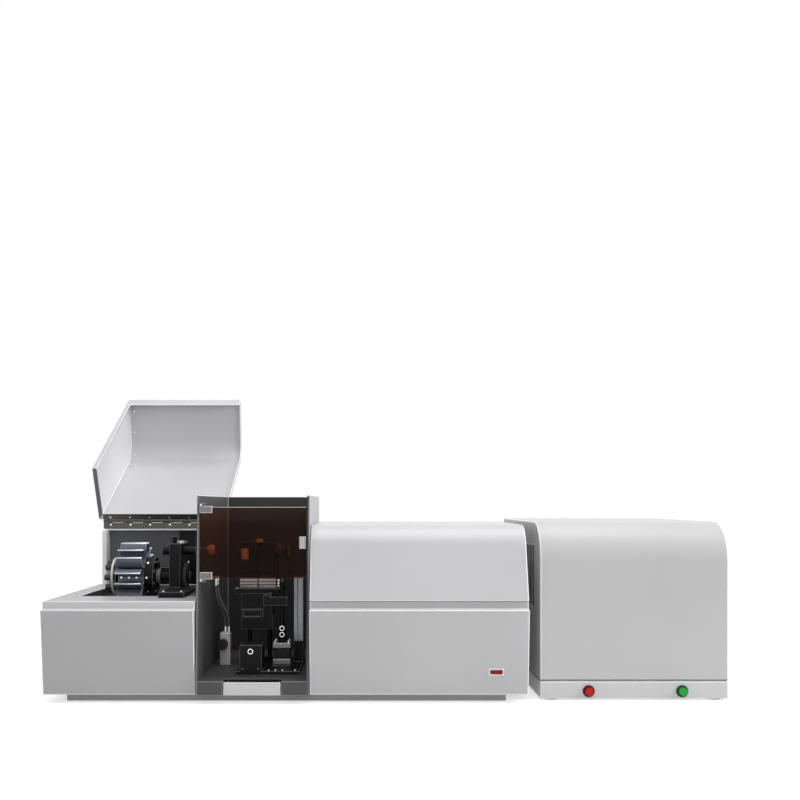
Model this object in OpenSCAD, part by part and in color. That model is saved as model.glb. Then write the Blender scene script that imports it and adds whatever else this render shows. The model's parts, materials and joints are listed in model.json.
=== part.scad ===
// Atomic absorption spectrophotometer with its graphite furnace power cabinet.
// X runs along the bench, Y from the front to the back, Z up from the bench.
// The modules measure X from the main unit's left end and Y from its front edge,
// and place() then moves the whole object to the middle of its own footprint.

/* [Main unit] */
// Width of the lamp compartment
lamp_w = 327; // [320:1:400]
// Width of the sample compartment
sample_w = 243; // [238:1:280]
// Width of the monochromator housing
mono_w = 470; // [450:1:560]
// Gap between neighbouring housings
joint_gap = 1.5; // [1:0.5:6]
// Depth of the main unit
main_d = 475; // [465:1:540]
// Underside of the housings above the bench
body_z = 19; // [16:1:30]
// Front top edge of the lower housings
deck_z = 203; // [195:1:210]
// Height of the recessed finger band between lower housing and cover
band_h = 17; // [12:1:22]
// Depth of the recessed finger band
band_set = 16; // [12:1:18]
// How far the lower front panels lean back at the bottom
panel_lean = 20; // [10:1:30]
// Top of the lamp lid and of the monochromator cover
cover_z = 382; // [376:1:400]
// Front lower edge of the monochromator cover behind the front of the unit
cover_set = 10; // [8:1:12]
// Angle of the cover's front from upright
cover_lean = 18; // [10:1:24]
// Radius of the cover's front top edge
cover_r = 65; // [40:1:75]
// Sheet thickness of the housings
wall = 3; // [2:0.5:4]
// Gap between the closed lid and the shelf
seat_gap = 1.5; // [1:0.5:3]

/* [Plinth] */
// How far the plinth stands back from the sides and the back
plinth_set = 45; // [30:1:60]
// How far the plinth's front stands back from the housings' lower edge
plinth_front = 24; // [23:1:40]
// Thickness of the base plate
base_t = 4; // [3:0.5:6]
// Diameter of a rubber foot
foot_d = 36; // [24:1:44]
// How far the base plate stands back from the housings
base_set = 22; // [18:1:28]
// Width of the housings' inturned bottom flange
flange_w = 36; // [32:1:40]
// Clear height under the plinth skirt
skirt_lift = 2; // [1:0.5:5]

/* [Lamp lid] */
// Front lower edge of the closed lid behind the front of the unit
lid_set = 22; // [14:1:28]
// Angle by which the lid stands open
lid_open = 153; // [120:1:160]
// Depth of the lid's inturned front lip
lip_d = 38; // [24:1:45]
// Width of the flanges along the lower and the rear edge of the lid's left end
side_flange = 12; // [8:1:16]
// Rise of the left end's lower edge towards the hinge
side_rise = 12; // [4:1:16]
// Height of the rim at the lid's open right end
rim_h = 8; // [5:1:14]
// Diameter of the hinge pin
pin_d = 4; // [3:0.5:5]
// Outside diameter of a hinge knuckle
knuckle_d = 8; // [7:0.5:10]
// Thickness of a hinge leaf
leaf_t = 1.6; // [1:0.2:2]
// Height of a hinge leaf from the pin
leaf_h = 20; // [16:1:24]
// Number of hinge knuckles
knuckles = 12; // [8:2:16]

/* [Lamp turret] */
// Number of lamp positions
lamps = 8; // [6:1:8]
// Radius of the circle that the lamps stand on
lamp_r = 62; // [60:1:70]
// Inside diameter of a lamp clip
clip_bore = 38; // [34:1:38]
// Wall of a lamp clip
clip_wall = 3; // [2:0.5:3]
// Length of a lamp clip
clip_len = 61; // [50:1:65]
// Left end of the clips from the unit's left end
clip_x = 108; // [105:1:115]
// Optical axis behind the front of the unit
optics_y = 280; // [270:1:290]
// Optical axis above the bench
optics_z = 316; // [310:1:322]
// Diameter of the turret shaft
shaft_d = 22; // [16:1:26]
// Radius of the hub flange
hub_r = 40; // [36:1:44]
// Thickness of the hub flange
hub_t = 21; // [16:1:24]
// Thickness of the bearing bracket
bracket_t = 26; // [20:1:30]
// Gear module
gear_m = 1; // [0.8:0.1:1.2]
// Teeth on the turret gear
gear_n = 60; // [48:1:72]
// Teeth on the motor pinion
pinion_n = 15; // [13:2:19]
// Width of the gears
gear_w = 8; // [6:0.5:10]

/* [Sample compartment] */
// Top of the sample compartment
tall_z = 448; // [435:1:470]
// Lean of the compartment's front edges
cheek_lean = 31; // [15:1:40]
// Front lower corner of the compartment's sides
cheek_set = 8; // [6:1:14]
// Thickness of the dark lining
liner_t = 2; // [1.5:0.5:3]
// How far the lining stands behind the front edges
liner_set = 3; // [2:1:6]
// Top of the compartment floor
floor_z = 49; // [45:1:52]
// Diameter of the light windows
window_d = 24; // [16:1:30]
// Width of the drip tray front
tray_w = 122; // [100:1:130]
// Length of the drip tray
tray_d = 180; // [120:1:200]

/* [Shield] */
// Lower edge of the amber shield
shield_z = 268; // [260:1:275]
// Height of the amber shield
shield_h = 154; // [140:1:156]
// Thickness of the amber shield
shield_t = 4; // [3:0.5:6]
// Front of the shield behind the front of the unit
shield_y = 38; // [37:1:44]
// Diameter of the shield's pivot pins
pivot_d = 5; // [4:0.5:6]

/* [Furnace and lift] */
// Travel of the lift each way from its middle
lift_travel = 10; // [5:1:12]
// Width of one ribbed furnace block
block_w = 41; // [36:1:44]
// Gap between the two furnace blocks
block_gap = 3; // [2:0.5:4]
// Outside diameter of the graphite tube
tube_d = 9; // [8:0.5:10]
// Inside diameter of the graphite tube
tube_bore = 6; // [5:0.5:6.5]
// Top of the lift platform
platform_z = 230; // [226:1:236]
// Thickness of the lift platform
platform_t = 12; // [10:1:16]
// Diameter of a guide rod
guide_d = 10; // [8:0.5:12]
// Diameter of the lead screw
screw_d = 10; // [8:0.5:12]
// Side of the lift motor
motor_w = 40; // [35:1:42]
// Height of the lift motor
motor_h = 48; // [34:1:48]
// Diameter of the gas valve knob
knob_d = 25; // [18:1:27]

/* [Monochromator] */
// Side of the cooling fan
fan_w = 92; // [80:1:92]
// Thickness of the cooling fan
fan_t = 25; // [20:1:25]
// Length of the mains rocker switch frame
switch_w = 31; // [28:1:34]
// Height of the mains rocker switch frame
switch_h = 14; // [13:1:18]
// Swing of the rocker from off to on
rocker_swing = 16; // [10:1:18]
// Top of the optical bed
bed_z = 250; // [240:1:256]

/* [Power cabinet] */
// Gap between the main unit and the cabinet
unit_gap = 32; // [20:1:60]
// Width of the cabinet
cab_w = 410; // [380:1:460]
// Depth of the cabinet
cab_d = 590; // [480:1:620]
// Height of the cabinet
cab_h = 388; // [360:1:420]
// Front of the cabinet behind the front of the main unit
cab_set = 57; // [40:1:70]
// Height of the cabinet's base strip
strip_h = 41; // [38:1:50]
// Radius of the cabinet's front top edge
cab_r = 85; // [50:1:100]
// Diameter of a push-button cap
button_d = 20; // [16:1:22]
// How far a push-button stands out of its frame
button_out = 8; // [6:0.5:10]
// Travel of a push-button
button_travel = 4; // [3:0.5:5]

/* [Hidden] */
$fn = 64;
running_gap = 0.06;
clear_gap = 0.5;
arc_steps = 12;
cut = 1;

// Places along the bench
x_sample = lamp_w + joint_gap;
x_mono = x_sample + sample_w + joint_gap;
main_w = x_mono + mono_w;
x_cab = main_w + unit_gap;
overall_w = x_cab + cab_w;
x_in0 = x_sample + wall + liner_t;
x_in1 = x_sample + sample_w - wall - liner_t;
x_mid = x_sample + sample_w / 2;

// Heights of the main unit
shelf_z = deck_z + band_h;
lid_z = shelf_z + seat_gap;

// Hinge of the lamp lid
pin_z = cover_z + 2;
leaf_gap = 0.2;
pin_y = main_d - wall - leaf_t - leaf_gap;
pin_r = pin_d / 2;
knuckle_r = knuckle_d / 2;
hinge_inset = 12;
hinge_len = lamp_w - 2 * hinge_inset;
knuckle_len = hinge_len / knuckles;
knuckle_gap = 0.6;
knuckle_room = knuckle_r + 0.6;
rear_bar_t = 5;
bar_y = pin_y - leaf_gap - leaf_t;

// Side outline of a cover: leaning front, rounded top edge, level top
function cover_arc_z(top, r) = top - r;
function cover_run(z0, top, r) = (top - r - z0 + r * sin(cover_lean)) / cos(cover_lean);
function cover_arc_y(y0, z0, top, r) =
    y0 + cover_run(z0, top, r) * sin(cover_lean) + r * cos(cover_lean);
function cover_outline(y0, z0, top, r, back) = concat(
    [[back, z0], [y0, z0]],
    [for (i = [0:arc_steps])
        let (a = 180 - cover_lean - i * (90 - cover_lean) / arc_steps)
        [cover_arc_y(y0, z0, top, r) + r * cos(a), cover_arc_z(top, r) + r * sin(a)]],
    [[back, top]]
);
// The same outline set in by a sheet thickness, running down past the open bottom
function cover_inside(y0, z0, top, r, back, t) =
    cover_outline(y0 + t / cos(cover_lean) - cut * tan(cover_lean), z0 - cut, top - t, r - t, back);

lid_back = bar_y;
lid_outline = cover_outline(lid_set, lid_z, cover_z, cover_r, lid_back);
function opened_y(p) =
    pin_y + (p[0] - pin_y) * cos(lid_open) + (p[1] - pin_z) * sin(lid_open);
overall_d = max([for (p = lid_outline) opened_y(p)]);

// Lamp turret
axis_y = optics_y;
axis_z = optics_z - lamp_r;
clip_r = clip_bore / 2 + clip_wall;
clip_mouth = clip_bore * 0.6;
hub_x = clip_x + clip_len;
shaft_x = hub_x + hub_t;
bracket_x = shaft_x + 39;
gear_x = bracket_x + bracket_t + 2;
gear_dist = gear_m * (gear_n + pinion_n) / 2;
pinion_y = axis_y + gear_dist;
disc_r = lamp_r - 18;
socket_r = disc_r - 11;
socket_d = 14;
disc_t = 5;
spigot_r = 12;
socket_len = 16;
disc_x = clip_x - 18;
clip_seat = 1.5;
core_r = lamp_r - clip_r + clip_seat;
bracket_y0 = axis_y - 45;
bracket_y1 = pinion_y + 32;
bracket_top = optics_z + 18;
barrel_r = 10;
barrel_out = 23;
barrel_len = barrel_out + bracket_t + 30;
bracket_foot_in = 4;
turret_motor_w = 42;
turret_motor_l = 34;
motor_shaft_r = 2.5;

// Sample compartment
function cheek_front(z) = cheek_set + (z - body_z) * cheek_lean / (tall_z - body_z);
tray_x = x_mid - tray_w / 2;
sill_gap = 2;
sill_d = 24;
floor_y = cheek_set + sill_d;
floor_t = 3;
tray_wall = 2;
slide_gap = 0.3;
tray_top = floor_z - floor_t - 3;

// Shield
shield_gap = 1.5;
shield_x = x_in0 + shield_gap;
shield_w = x_in1 - x_in0 - 2 * shield_gap;
pivot_x = shield_x + 8;
pivot_y = shield_y - 3;
hinge_block_w = 27;
hinge_block_h = 15;
hinge_block_t = 7;
hinge_block_low = shield_z - 2;
hinge_block_high = shield_z + shield_h - hinge_block_h + 2;
pivot_arm_h = 6;
arm_r = 5;
arm_seat = 8;
pivot_depth = 12;

// Furnace and lift
furnace_x = x_mid - 12.5;
block_x0 = furnace_x - block_w - block_gap / 2;
block_x1 = furnace_x + block_gap / 2;
block_d = 70;
block_y = optics_y - block_d / 2;
block_top = optics_z + 20;
rib_pitch = 7.5;
rib_gap = 3;
rib_deep = 4;
rib_top = platform_z + 34;
head_set = 6;
platform_x = block_x0 - 9;
platform_w = 2 * block_w + block_gap + 24;
platform_y = block_y - 25;
platform_d = block_d + 45;
guide_y = optics_y + 10;
guide_off = 24;
bush_len = 55;
bush_r = guide_d / 2 + 5;
motor_x = x_mid + 50;
motor_y = 190;
pad_z = floor_z + 12;
nut_z = platform_z - platform_t - 24;
nut_h = 20;
coupling_r = 8;
coupling_h = 34;
screw_bottom = pad_z + motor_h + 2;
screw_top = platform_z + lift_travel + 8;
block_front_y = 93;
base_foot_h = 8;

// Gas valve
valve_x = x_in0 + 16;
valve_y = 232;
valve_w = 23.5;
valve_d = 30;
valve_h = 75;
valve_top = floor_z + valve_h;
knob_x = valve_x + valve_w / 2 - 4;
knob_z = floor_z + 50;
knob_len = 16;
stem_r = 3;
fit_r = 4;
fit_h = 14;
hose_r = 2.5;
hose_straight = 4;
fit_x = valve_x + valve_w / 2 + 3;
fit_dx = 4.5;
elbow_y = 207;
elbow_z = 254;
elbow_step = 30;
elbow_x = x_in0 + 10;
elbow_drop = 16;
hose_bend = 45;

// Lower front panel of the monochromator
panel_tilt = atan(panel_lean / (deck_z - body_z));
function panel_y(z) = panel_lean * (deck_z - z) / (deck_z - body_z);
switch_x = x_mono + 400;
switch_z = 69;
bezel_t = 2.5;
rocker_w = switch_w - 6;
rocker_h = switch_h - 6;
rocker_pin_r = 1.6;
switch_wall = 1;
switch_body_w = rocker_w + 2 * clear_gap + 2 * switch_wall;
switch_body_h = rocker_h + 2 * clear_gap + 2 * switch_wall;
rocker_pivot = 3;
switch_deep = 18;

// Monochromator inside
bed_t = 14;
bed_x = x_mono + 20;
bed_w = mono_w - 50;
bed_y = 70;
bed_d = main_d - 140;
leg_r = 12;
slit_x = bed_x + 58;
exit_y = optics_y + 70;
grating_x = bed_x + 170;
grating_y = optics_y - 110;
table_r = 32;
spindle_r = 6;
mirror_x = bed_x + bed_w - 40;
fan_x = x_mono + 330;
fan_z = 120;
fan_r = fan_w / 2 - 4;
fan_hub_r = 18;
fan_blades = 7;
port_x = x_mono + 120;
port_z = 90;
power_x = x_mono + 200;
power_y = 260;
power_w = 100;
power_d = 150;
power_h = 55;
board_x = x_mono + 75;
board_y = 110;
board_w = 140;
board_t = 2;
stand_h = 12;
chip_w = 24;

// Power cabinet
cab_y = cab_set;
cab_wall = 2.5;
cab_lift = 3;
cab_seam = 2;
cab_lip = 14;
button_z = 20;
red_x = x_cab + 105;
green_x = x_cab + 309;
button_r = button_d / 2 - 1;
button_hole_r = button_d / 2 + 1;
bezel_r = button_d / 2 + 3;
core_w = 210;
core_d = 90;
core_h = 190;
coil_w = 76;
coil_d = 122;
core_x = x_cab + cab_w / 2 - core_w / 2;
core_y = cab_y + cab_d / 2;
ring_t = 3;
sleeve_len = 16;
button_seat = 5;
vent_n = 14;
vent_pitch = 20;
vent_w = 13;
vent_y = cab_y + 92;
vent_z0 = 196;
vent_z1 = 334;

light_grey = [0.80, 0.80, 0.81];
panel_grey = [0.72, 0.72, 0.73];
dark_grey = [0.22, 0.22, 0.23];
black = [0.06, 0.06, 0.065];
steel = [0.62, 0.62, 0.64];
silver = [0.74, 0.74, 0.76];
clip_grey = [0.42, 0.45, 0.50];

// Moves the object to the middle of its footprint
module place() translate([-overall_w / 2, -overall_d / 2, 0]) children();

// Extrudes a side outline drawn as [y, z] along X
module along_x(x, len) translate([x, 0, 0]) rotate([90, 0, 90]) linear_extrude(len) children();

module rod_x(x, y, z, len, r) translate([x, y, z]) rotate([0, 90, 0]) cylinder(h = len, r = r);
module rod_y(x, y, z, len, r) translate([x, y, z]) rotate([-90, 0, 0]) cylinder(h = len, r = r);
module rod_z(x, y, z, len, r) translate([x, y, z]) cylinder(h = len, r = r);
module block(x, y, z, w, d, h) translate([x, y, z]) cube([w, d, h]);

// Turns what is drawn closed into the lid's open position
module opened() translate([0, pin_y, pin_z]) rotate([-lid_open, 0, 0])
    translate([0, -pin_y, -pin_z]) children();

// Straight-sided gear outline with a tooth on the first axis
function gear_outline(n) = [
    for (k = [0:n - 1])
    let (rp = gear_m * n / 2, a = 360 * k / n)
    for (p = [[-1.15, -0.95], [0.85, -0.3], [0.85, 0.3], [-1.15, 0.95]])
    let (r = rp + p[0] * gear_m, b = a + p[1] * gear_m / rp * 180 / PI)
    [r * cos(b), r * sin(b)]
];

// Tube of eight sides swept along a list of points
hose_sides = 8;
function unit(v) = v / norm(v);
function heading(pts, i) =
    unit(pts[min(i + 1, len(pts) - 1)] - pts[max(i - 1, 0)]);
function ring(p, t, r) =
    let (u = unit(cross(t, [0, 1, 0.3])), v = cross(t, u))
    [for (k = [0:hose_sides - 1])
        p + r * (u * cos(360 * k / hose_sides) + v * sin(360 * k / hose_sides))];
module hose(pts, r) {
    n = len(pts);
    s = hose_sides;
    points = [for (i = [0:n - 1]) each ring(pts[i], heading(pts, i), r)];
    sides = [for (i = [0:n - 2]) for (k = [0:s - 1]) each [
        [i * s + k, (i + 1) * s + k, i * s + (k + 1) % s],
        [i * s + (k + 1) % s, (i + 1) * s + k, (i + 1) * s + (k + 1) % s]]];
    first = [for (k = [1:s - 2]) [0, k, k + 1]];
    last = [for (k = [1:s - 2]) [(n - 1) * s, (n - 1) * s + k + 1, (n - 1) * s + k]];
    polyhedron(points, concat(sides, first, last));
}

// Lower housing outline: leaning front panel, recessed band, level top
module lower_outline() polygon([
    [panel_lean, body_z], [0, deck_z], [band_set, deck_z], [band_set, shelf_z],
    [main_d, shelf_z], [main_d, body_z]]);
module lower_inside(top) polygon([
    [panel_lean + wall, body_z + wall], [wall, deck_z - wall], [band_set + wall, deck_z - wall],
    [band_set + wall, top], [main_d - wall, top], [main_d - wall, body_z + wall]]);

// Opening in the bottom of a lower housing, inside its inturned flange
module flange_opening(x, w) block(x + flange_w, panel_lean + flange_w, body_z - cut,
    w - 2 * flange_w, main_d - panel_lean - 2 * flange_w, wall + 2 * cut);

plinth_d = main_d - plinth_set - plinth_front;

module base_plate() place() color([0.50, 0.50, 0.51]) {
    block(base_set, panel_lean + base_set, body_z - base_t, main_w - 2 * base_set,
        main_d - panel_lean - base_set - wall, base_t);
    difference() {
        block(plinth_set, plinth_front + panel_lean, skirt_lift, main_w - 2 * plinth_set,
            plinth_d, body_z - base_t - skirt_lift);
        block(plinth_set + wall, plinth_front + panel_lean + wall, 0, main_w - 2 * plinth_set - 2 * wall,
            plinth_d - 2 * wall, body_z);
    }
}

// Feet of the main unit and of the cabinet
module rubber_feet() place() color(black) {
    main_in = plinth_set + wall + foot_d / 2 + 2;
    for (x = [main_in, main_w / 2, main_w - main_in])
        for (y = [main_in + panel_lean, main_d + panel_lean - main_in])
            rod_z(x, y, 0, body_z - base_t, foot_d / 2);
    cab_in = foot_d / 2 + 8;
    for (x = [x_cab + cab_in, x_cab + cab_w - cab_in])
        for (y = [cab_y + cab_in, cab_y + cab_d - cab_in])
            rod_z(x, y, 0, cab_lift, foot_d / 2);
}

lamp_shelf_l = 46;
lamp_shelf_f = 139;
lamp_shelf_r = 8;
lamp_shelf_b = 12;

module lamp_tub() place() color(panel_grey) difference() {
    along_x(0, lamp_w) lower_outline();
    along_x(wall, lamp_w - 2 * wall) lower_inside(shelf_z - wall);
    flange_opening(0, lamp_w);
    block(lamp_shelf_l, lamp_shelf_f, shelf_z - 2 * wall, lamp_w - lamp_shelf_l - lamp_shelf_r,
        main_d - lamp_shelf_f - lamp_shelf_b, 3 * wall);
}

back_in = side_flange + 4;
post_w = 11;
return_d = 33;
ledge_d = 14;
module lamp_back() place() color(dark_grey) {
    wall_y = main_d - wall;
    leaf_low = pin_z - leaf_h;
    block(back_in, wall_y, shelf_z, lamp_w - back_in - wall, wall, pin_z - knuckle_room - 1 - shelf_z);
    block(back_in, main_d - return_d, shelf_z, post_w, return_d, leaf_low - 4 - shelf_z);
    block(back_in, wall_y - ledge_d, leaf_low - 4, lamp_w - back_in - wall, ledge_d + 1, wall);
}

// Knuckles of one hinge leaf, every second one
module knuckle_row(first, bore_r) difference() {
    for (i = [first:2:knuckles - 1])
        rod_x(hinge_inset + i * knuckle_len + knuckle_gap / 2, pin_y, pin_z,
            knuckle_len - knuckle_gap, knuckle_r);
    rod_x(0, pin_y, pin_z, lamp_w, bore_r);
}

// Leaf plate on one side of the pin, with tabs up to its own knuckles
module leaf(first, y, bore_r) {
    block(hinge_inset, y, pin_z - leaf_h, hinge_len, leaf_t, leaf_h - knuckle_room);
    difference() {
        for (i = [first:2:knuckles - 1])
            block(hinge_inset + i * knuckle_len + knuckle_gap / 2, y, pin_z - knuckle_room,
                knuckle_len - knuckle_gap, leaf_t, knuckle_room);
        rod_x(0, pin_y, pin_z, lamp_w, bore_r);
    }
    knuckle_row(first, bore_r);
}

module hinge_leaf() place() color(steel) leaf(0, pin_y + leaf_gap, pin_r + running_gap / 2);
module hinge_pin() place() color(steel) rod_x(hinge_inset, pin_y, pin_z, hinge_len, pin_r);
module lid_leaf() place() color(steel) opened() leaf(1, bar_y, pin_r + running_gap);

// Lid drawn closed: left end with its flanges, skin, inturned lip, rim at the right, bar for the hinge
module lid_closed() {
    difference() {
        along_x(0, lamp_w) polygon(lid_outline);
        along_x(wall, lamp_w)
            polygon(cover_inside(lid_set, lid_z, cover_z, cover_r, lid_back + cut, wall));
    }
    along_x(0, lamp_w) polygon([
        [lid_set + 1, lid_z], [lid_set + lip_d, lid_z],
        [lid_set + lip_d, lid_z + wall], [lid_set + 1 + wall * tan(cover_lean), lid_z + wall]]);
    difference() {
        along_x(lamp_w - wall, wall) polygon(lid_outline);
        along_x(lamp_w - wall - cut, wall + 2 * cut)
            polygon(cover_inside(lid_set, lid_z, cover_z, cover_r, lid_back + cut, wall + rim_h));
    }
    block(0, lid_back - wall, lid_z, side_flange, wall, cover_z - wall - lid_z + 0.5);
    along_x(0, side_flange) polygon([
        [lid_set + lip_d - 1, lid_z], [lid_back, lid_z],
        [lid_back, lid_z + side_rise + wall], [lid_set + lip_d - 1, lid_z + wall]]);
    block(hinge_inset, bar_y - rear_bar_t, pin_z - leaf_h, hinge_len, rear_bar_t,
        leaf_h - (pin_z - cover_z) - wall + 0.5);
}

// Room for the fixed knuckles at the lid's rear top edge, and the rising lower edge of its left end
module lid_shell() place() color(light_grey) opened() difference() {
    lid_closed();
    along_x(-cut, side_flange + 2 * cut) polygon([
        [lid_set + lip_d, lid_z - cut], [lid_set + lip_d, lid_z],
        [lid_back + cut, lid_z + side_rise], [lid_back + cut, lid_z - cut]]);
    rod_x(-cut, pin_y, pin_z, lamp_w + 2 * cut, knuckle_room);
}

module turret_bracket() place() color(black) difference() {
    union() {
        block(bracket_x, bracket_y0, body_z, bracket_t, bracket_y1 - bracket_y0, bracket_top - body_z);
        block(bracket_x + bracket_foot_in, lamp_shelf_f - 48, shelf_z, bracket_t + 35 - bracket_foot_in,
            bracket_y0 - lamp_shelf_f + 49, 12);
        rod_z(bracket_x + 8, axis_y - 20, bracket_top - 1, 18, 6);
    }
    rod_x(bracket_x - cut, axis_y, axis_z, bracket_t + 2 * cut, shaft_d / 2 + running_gap);
    rod_x(bracket_x - cut, axis_y, optics_z, bracket_t + 2 * cut, barrel_r + 0.05);
    rod_x(bracket_x - cut, pinion_y, axis_z, bracket_t + 2 * cut, motor_shaft_r + 1);
}

// Stepper motor behind the shaft, its face on the bracket and its shaft through it
module turret_motor() place() color(steel) {
    difference() {
        block(bracket_x - turret_motor_l, pinion_y - turret_motor_w / 2, axis_z - turret_motor_w / 2,
            turret_motor_l, turret_motor_w, turret_motor_w);
        rod_x(bracket_x - 12, pinion_y, axis_z, 12 + cut, motor_shaft_r + running_gap);
    }
}

module lens_barrel() place() color(black) difference() {
    rod_x(bracket_x - barrel_out, axis_y, optics_z, barrel_len, barrel_r);
    rod_x(bracket_x - barrel_out - cut, axis_y, optics_z, barrel_len + 2 * cut, barrel_r - 3);
}

// Hub flange and shaft that carry the clips
module turret_hub() place() color(black) {
    rod_x(hub_x, axis_y, axis_z, hub_t, hub_r + 7);
    rod_x(clip_x, axis_y, axis_z, clip_len, core_r);
    rod_x(shaft_x, axis_y, axis_z, gear_x + gear_w + 6 - shaft_x, shaft_d / 2);
    rod_x(disc_x - 6, axis_y, axis_z, clip_x - disc_x + 6, spigot_r);
}

// One spring clip, drawn at the top of the circle and open outwards
module lamp_clip() difference() {
    rod_x(clip_x, 0, lamp_r, clip_len, clip_r);
    rod_x(clip_x - cut, 0, lamp_r, clip_len + 2 * cut, clip_bore / 2);
    block(clip_x - cut, -clip_mouth / 2, lamp_r + clip_bore * 0.2, clip_len + 2 * cut,
        clip_mouth, clip_r);
}
module around_turret() for (k = [0:lamps - 1])
    translate([0, axis_y, axis_z]) rotate([360 * k / lamps, 0, 0]) children();

module lamp_clips() place() color(clip_grey) difference() {
    around_turret() lamp_clip();
    rod_x(clip_x - cut, axis_y, axis_z, clip_len + 2 * cut, core_r);
}

module socket_disc() place() color([0.9, 0.9, 0.88]) difference() {
    rod_x(disc_x, axis_y, axis_z, disc_t, disc_r);
    rod_x(disc_x - cut, axis_y, axis_z, disc_t + 2 * cut, spigot_r);
    around_turret() rod_x(disc_x - cut, 0, socket_r, disc_t + 2 * cut, socket_d / 2 + running_gap);
}

module lamp_sockets() place() color(black) around_turret() difference() {
    union() {
        rod_x(disc_x - socket_len, 0, socket_r, socket_len + disc_t, socket_d / 2);
        rod_x(disc_x - 4, 0, socket_r, 4, socket_d / 2 + 2);
    }
    rod_x(disc_x - socket_len - cut, 0, socket_r, socket_len, 3);
}

module turret_gear() place() color(black) difference() {
    translate([0, axis_y, axis_z]) along_x(gear_x, gear_w) polygon(gear_outline(gear_n));
    rod_x(gear_x - cut, axis_y, axis_z, gear_w + 2 * cut, shaft_d / 2);
}

module turret_pinion() place() color(steel) {
    translate([0, pinion_y, axis_z]) along_x(gear_x, gear_w) polygon(gear_outline(pinion_n));
    rod_x(bracket_x - 10, pinion_y, axis_z, gear_x - bracket_x + 10.5, motor_shaft_r);
}

// Side of the sample compartment, with the light window
module cheek(x) difference() {
    along_x(x, wall) polygon([
        [cheek_front(body_z), body_z], [cheek_front(tall_z), tall_z],
        [main_d, tall_z], [main_d, body_z]]);
    rod_x(x - cut, optics_y, optics_z, wall + 2 * cut, window_d / 2);
}
module cheek_left() place() color(light_grey) cheek(x_sample);
module cheek_right() place() color(light_grey) cheek(x_sample + sample_w - wall);

// Dark lining folded round the back of the compartment
module sample_liner() place() color(dark_grey) difference() {
    union() {
        for (x = [x_sample + wall, x_in1])
            along_x(x, liner_t) polygon([
                [cheek_front(floor_z) + liner_set, floor_z], [cheek_front(tall_z) + liner_set, tall_z - 2],
                [main_d, tall_z - 2], [main_d, floor_z]]);
        block(x_sample + wall, main_d - liner_t, body_z, sample_w - 2 * wall, liner_t, tall_z - 2 - body_z);
    }
    rod_x(x_sample, optics_y, optics_z, sample_w, window_d / 2);
    for (i = [0, 1])
        rod_x(x_sample, elbow_y + i * elbow_step, elbow_z, sample_w / 2, stem_r + running_gap);
}

// Folded floor plate standing on the base, open in front over the tray
module sample_floor() place() color(black) difference() {
    floor_w = sample_w - 2 * wall;
    floor_d = main_d - liner_t - floor_y;
    block(x_sample + wall, floor_y, body_z, floor_w, floor_d, floor_z - body_z);
    block(x_sample + wall + floor_t, floor_y - cut, body_z - cut, floor_w - 2 * floor_t,
        floor_d - floor_t + cut, floor_z - floor_t - body_z + cut);
    block(tray_x, floor_y - cut, floor_z - floor_t - cut, tray_w, 14 + cut, floor_t + 2 * cut);
    rod_z(x_mid, floor_y + 36, floor_z - floor_t - cut, floor_t + 2 * cut, 7);
}

module sill_blocks() place() color(dark_grey) {
    sill_end = x_sample + sample_w - wall;
    for (x = [[x_sample + wall, tray_x - sill_gap], [tray_x + tray_w + sill_gap, sill_end]])
        along_x(x[0], x[1] - x[0]) polygon([
            [cheek_front(body_z) + 2, body_z], [cheek_front(floor_z) + 2, floor_z],
            [floor_y, floor_z], [floor_y, body_z]]);
}

module drip_tray() place() color(light_grey) {
    front_t = 4;
    front_y = cheek_set + 3;
    low = body_z + slide_gap;
    box_w = tray_w - 6;
    block(tray_x, front_y, low, tray_w, front_t, floor_z - 2 - low);
    difference() {
        block(tray_x + 3, front_y + front_t, low, box_w, tray_d, tray_top - low);
        block(tray_x + 3 + tray_wall, front_y + front_t, low + tray_wall, box_w - 2 * tray_wall,
            tray_d - tray_wall, tray_top);
    }
}

// Two arms on the left side, with the pins that the shield turns on
module shield_pivots() place() color(steel) {
    low = hinge_block_low - slide_gap;
    high = hinge_block_high + hinge_block_h + slide_gap;
    front = pivot_y - arm_r;
    for (z = [low - pivot_arm_h, high])
        block(x_in0, front, z, pivot_x + arm_r - x_in0,
            max(2 * arm_r, cheek_front(z) + liner_set + arm_seat - front), pivot_arm_h);
    rod_z(pivot_x, pivot_y, low - 1, pivot_depth + 1 + slide_gap, pivot_d / 2);
    rod_z(pivot_x, pivot_y, high - pivot_depth - slide_gap, pivot_depth + 1 + slide_gap, pivot_d / 2);
}

module shield_pane() place() color([0.75, 0.30, 0.08, 0.6])
    block(shield_x, shield_y, shield_z, shield_w, shield_t, shield_h);

module shield_blocks() place() color(panel_grey) difference() {
    for (z = [hinge_block_low, hinge_block_high])
        block(shield_x, shield_y - hinge_block_t, z, hinge_block_w, hinge_block_t, hinge_block_h);
    rod_z(pivot_x, pivot_y, hinge_block_low - cut, pivot_depth + 2 + cut, pivot_d / 2 + running_gap);
    rod_z(pivot_x, pivot_y, hinge_block_high + hinge_block_h - pivot_depth - 2, pivot_depth + 2 + cut,
        pivot_d / 2 + running_gap);
}

module shield_handle() place() color(light_grey) {
    grip_w = 14;
    grip_h = 26;
    grip_t = 8;
    x = shield_x + shield_w - grip_w - 1;
    z = shield_z + shield_h / 2 - grip_h / 2;
    difference() {
        block(x, shield_y - grip_t, z, grip_w, grip_t, grip_h);
        for (i = [0:2])
            block(x + 2.5 + i * 3.5, shield_y - grip_t - cut, z - cut, 2, cut + 1.5, grip_h + 2 * cut);
    }
}

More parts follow.
